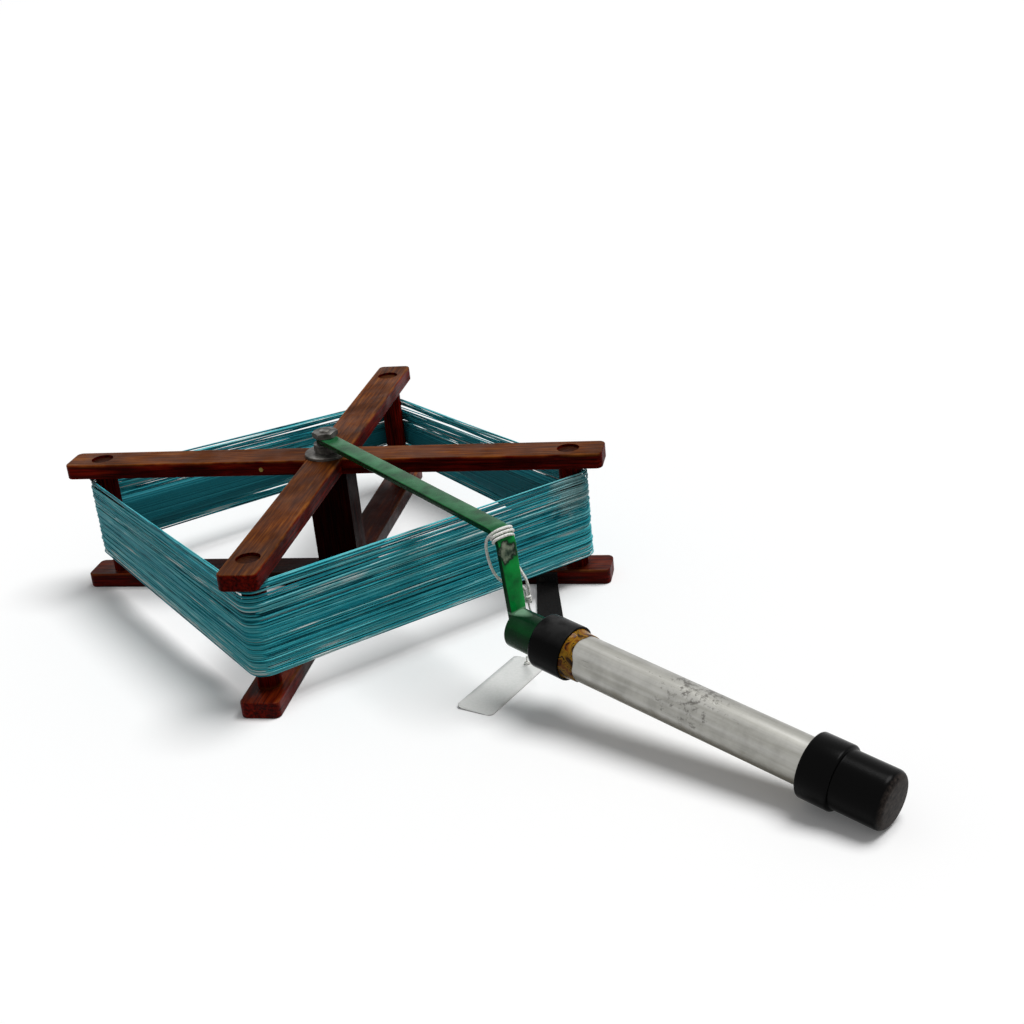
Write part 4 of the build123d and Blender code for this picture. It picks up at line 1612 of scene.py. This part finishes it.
def make_finishes() -> Materials:
    """Builds every material once.

    Returns:
        The materials by slot name, or by piece where a slot has several.
    """
    recipes: dict[str, Finish] = {
        # The upright's wood near the axle, the centre post, is painted dark as shade
        "wood_upright": VarnishedWood(
            "varnished_wood_z", "#5b1810", 0.4, specular=0.01, grain=Grain.ALONG_Z,
            top_tones=("#1d0d08", "#2f150c", "#3c1c10", "#4a2817"), shaded_within=60.0,
        ),
        "zinc_steel": DulledMetal("dull_zinc", "#8f8d88", 0.45, metallic=0.7),
        # The keeper nails are painted near black as the shade they lie in
        "shade_dark_steel": DulledMetal(
            "shade_dark_steel", "#1c1a19", 0.6, metallic=0.2, specular=0.1,
            tones=("#0c0b0b", "#151413", "#201e1c", "#2e2b28"),
        ),
        "brass_pin": DulledMetal(
            "drawn_brass", "#b08a45", 0.4, metallic=1.0,
            tones=("#5c4420", "#8a6a33", "#b08a45", "#c9a65e"),
        ),
        "black_leather": BlackLeather("pebbled_leather", "#0d0c0c", 0.7, specular=0.1),
        "green_paint": BrushedEnamel(
            "brushed_enamel", "#057a30", 0.25, specular=0.07, chip_place=(125.4, -131.2, 76.0),
            chip_size=6.0,
        ),
        "black_rubber": MouldedRubber("moulded_rubber", "#010101", 0.24, specular=0.04),
        "amber_glue": MottledShellac("mottled_shellac", "#94641a", 0.2, specular=0.08),
        "worn_aluminium": WornAluminium("drawn_aluminium", "#b7b7b4", 0.36, metallic=0.85),
        "black_plastic": GlossyPlastic("moulded_plastic", "#010101", 0.2, specular=0.05),
        "teal_line": NylonLine("nylon_line", "#45bcc6", 0.34, specular=0.08),
        "packed_line": WoundLayers("packed_nylon", "#1f7d8a", 0.5, specular=0.05),
        "white_string": TwistedCotton("twisted_cotton", "#e6e6e0", 0.9, specular=0.2, sheen=0.3),
        "tag_card": TagCard("tag_card_stock", "#c4c4c2", 0.6, specular=0.2),
    }
    # Upper arms: brown tops, worn and with a painted sheen. Feet: red all over, with painted shade near the
    # axle
    for letter, grain in (("x", Grain.ALONG_X), ("y", Grain.ALONG_Y)):
        recipes["wood_along_" + letter] = VarnishedWood(
            "varnished_wood_" + letter, "#5b1810", 0.45, specular=0.02, grain=grain,
        )
        recipes["foot_along_" + letter] = VarnishedWood(
            "varnished_foot_" + letter, "#5b1810", 0.3, specular=0.05, grain=grain,
            top_tones=("#240602", "#4a0f04", "#702408", "#98500f"), shaded_within=124.0,
        )
    return {key: recipe.material() for key, recipe in recipes.items()}


def main() -> None:
    """Builds the winder, piece by piece, and the studio round it."""
    logging.basicConfig(level=logging.INFO, format="%(name)s: %(message)s")
    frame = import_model()
    bpy.context.scene.view_settings.view_transform = "Standard"
    PhotoCamera().build()
    finishes = make_finishes()
    TiedString().build(finishes)
    BentStrap().build(finishes["green_paint"])
    HandleTube().build(finishes)
    Winding().build(finishes)
    Stand().dress(finishes, frame)
    Studio().build()


if __name__ == "__main__":
    main()
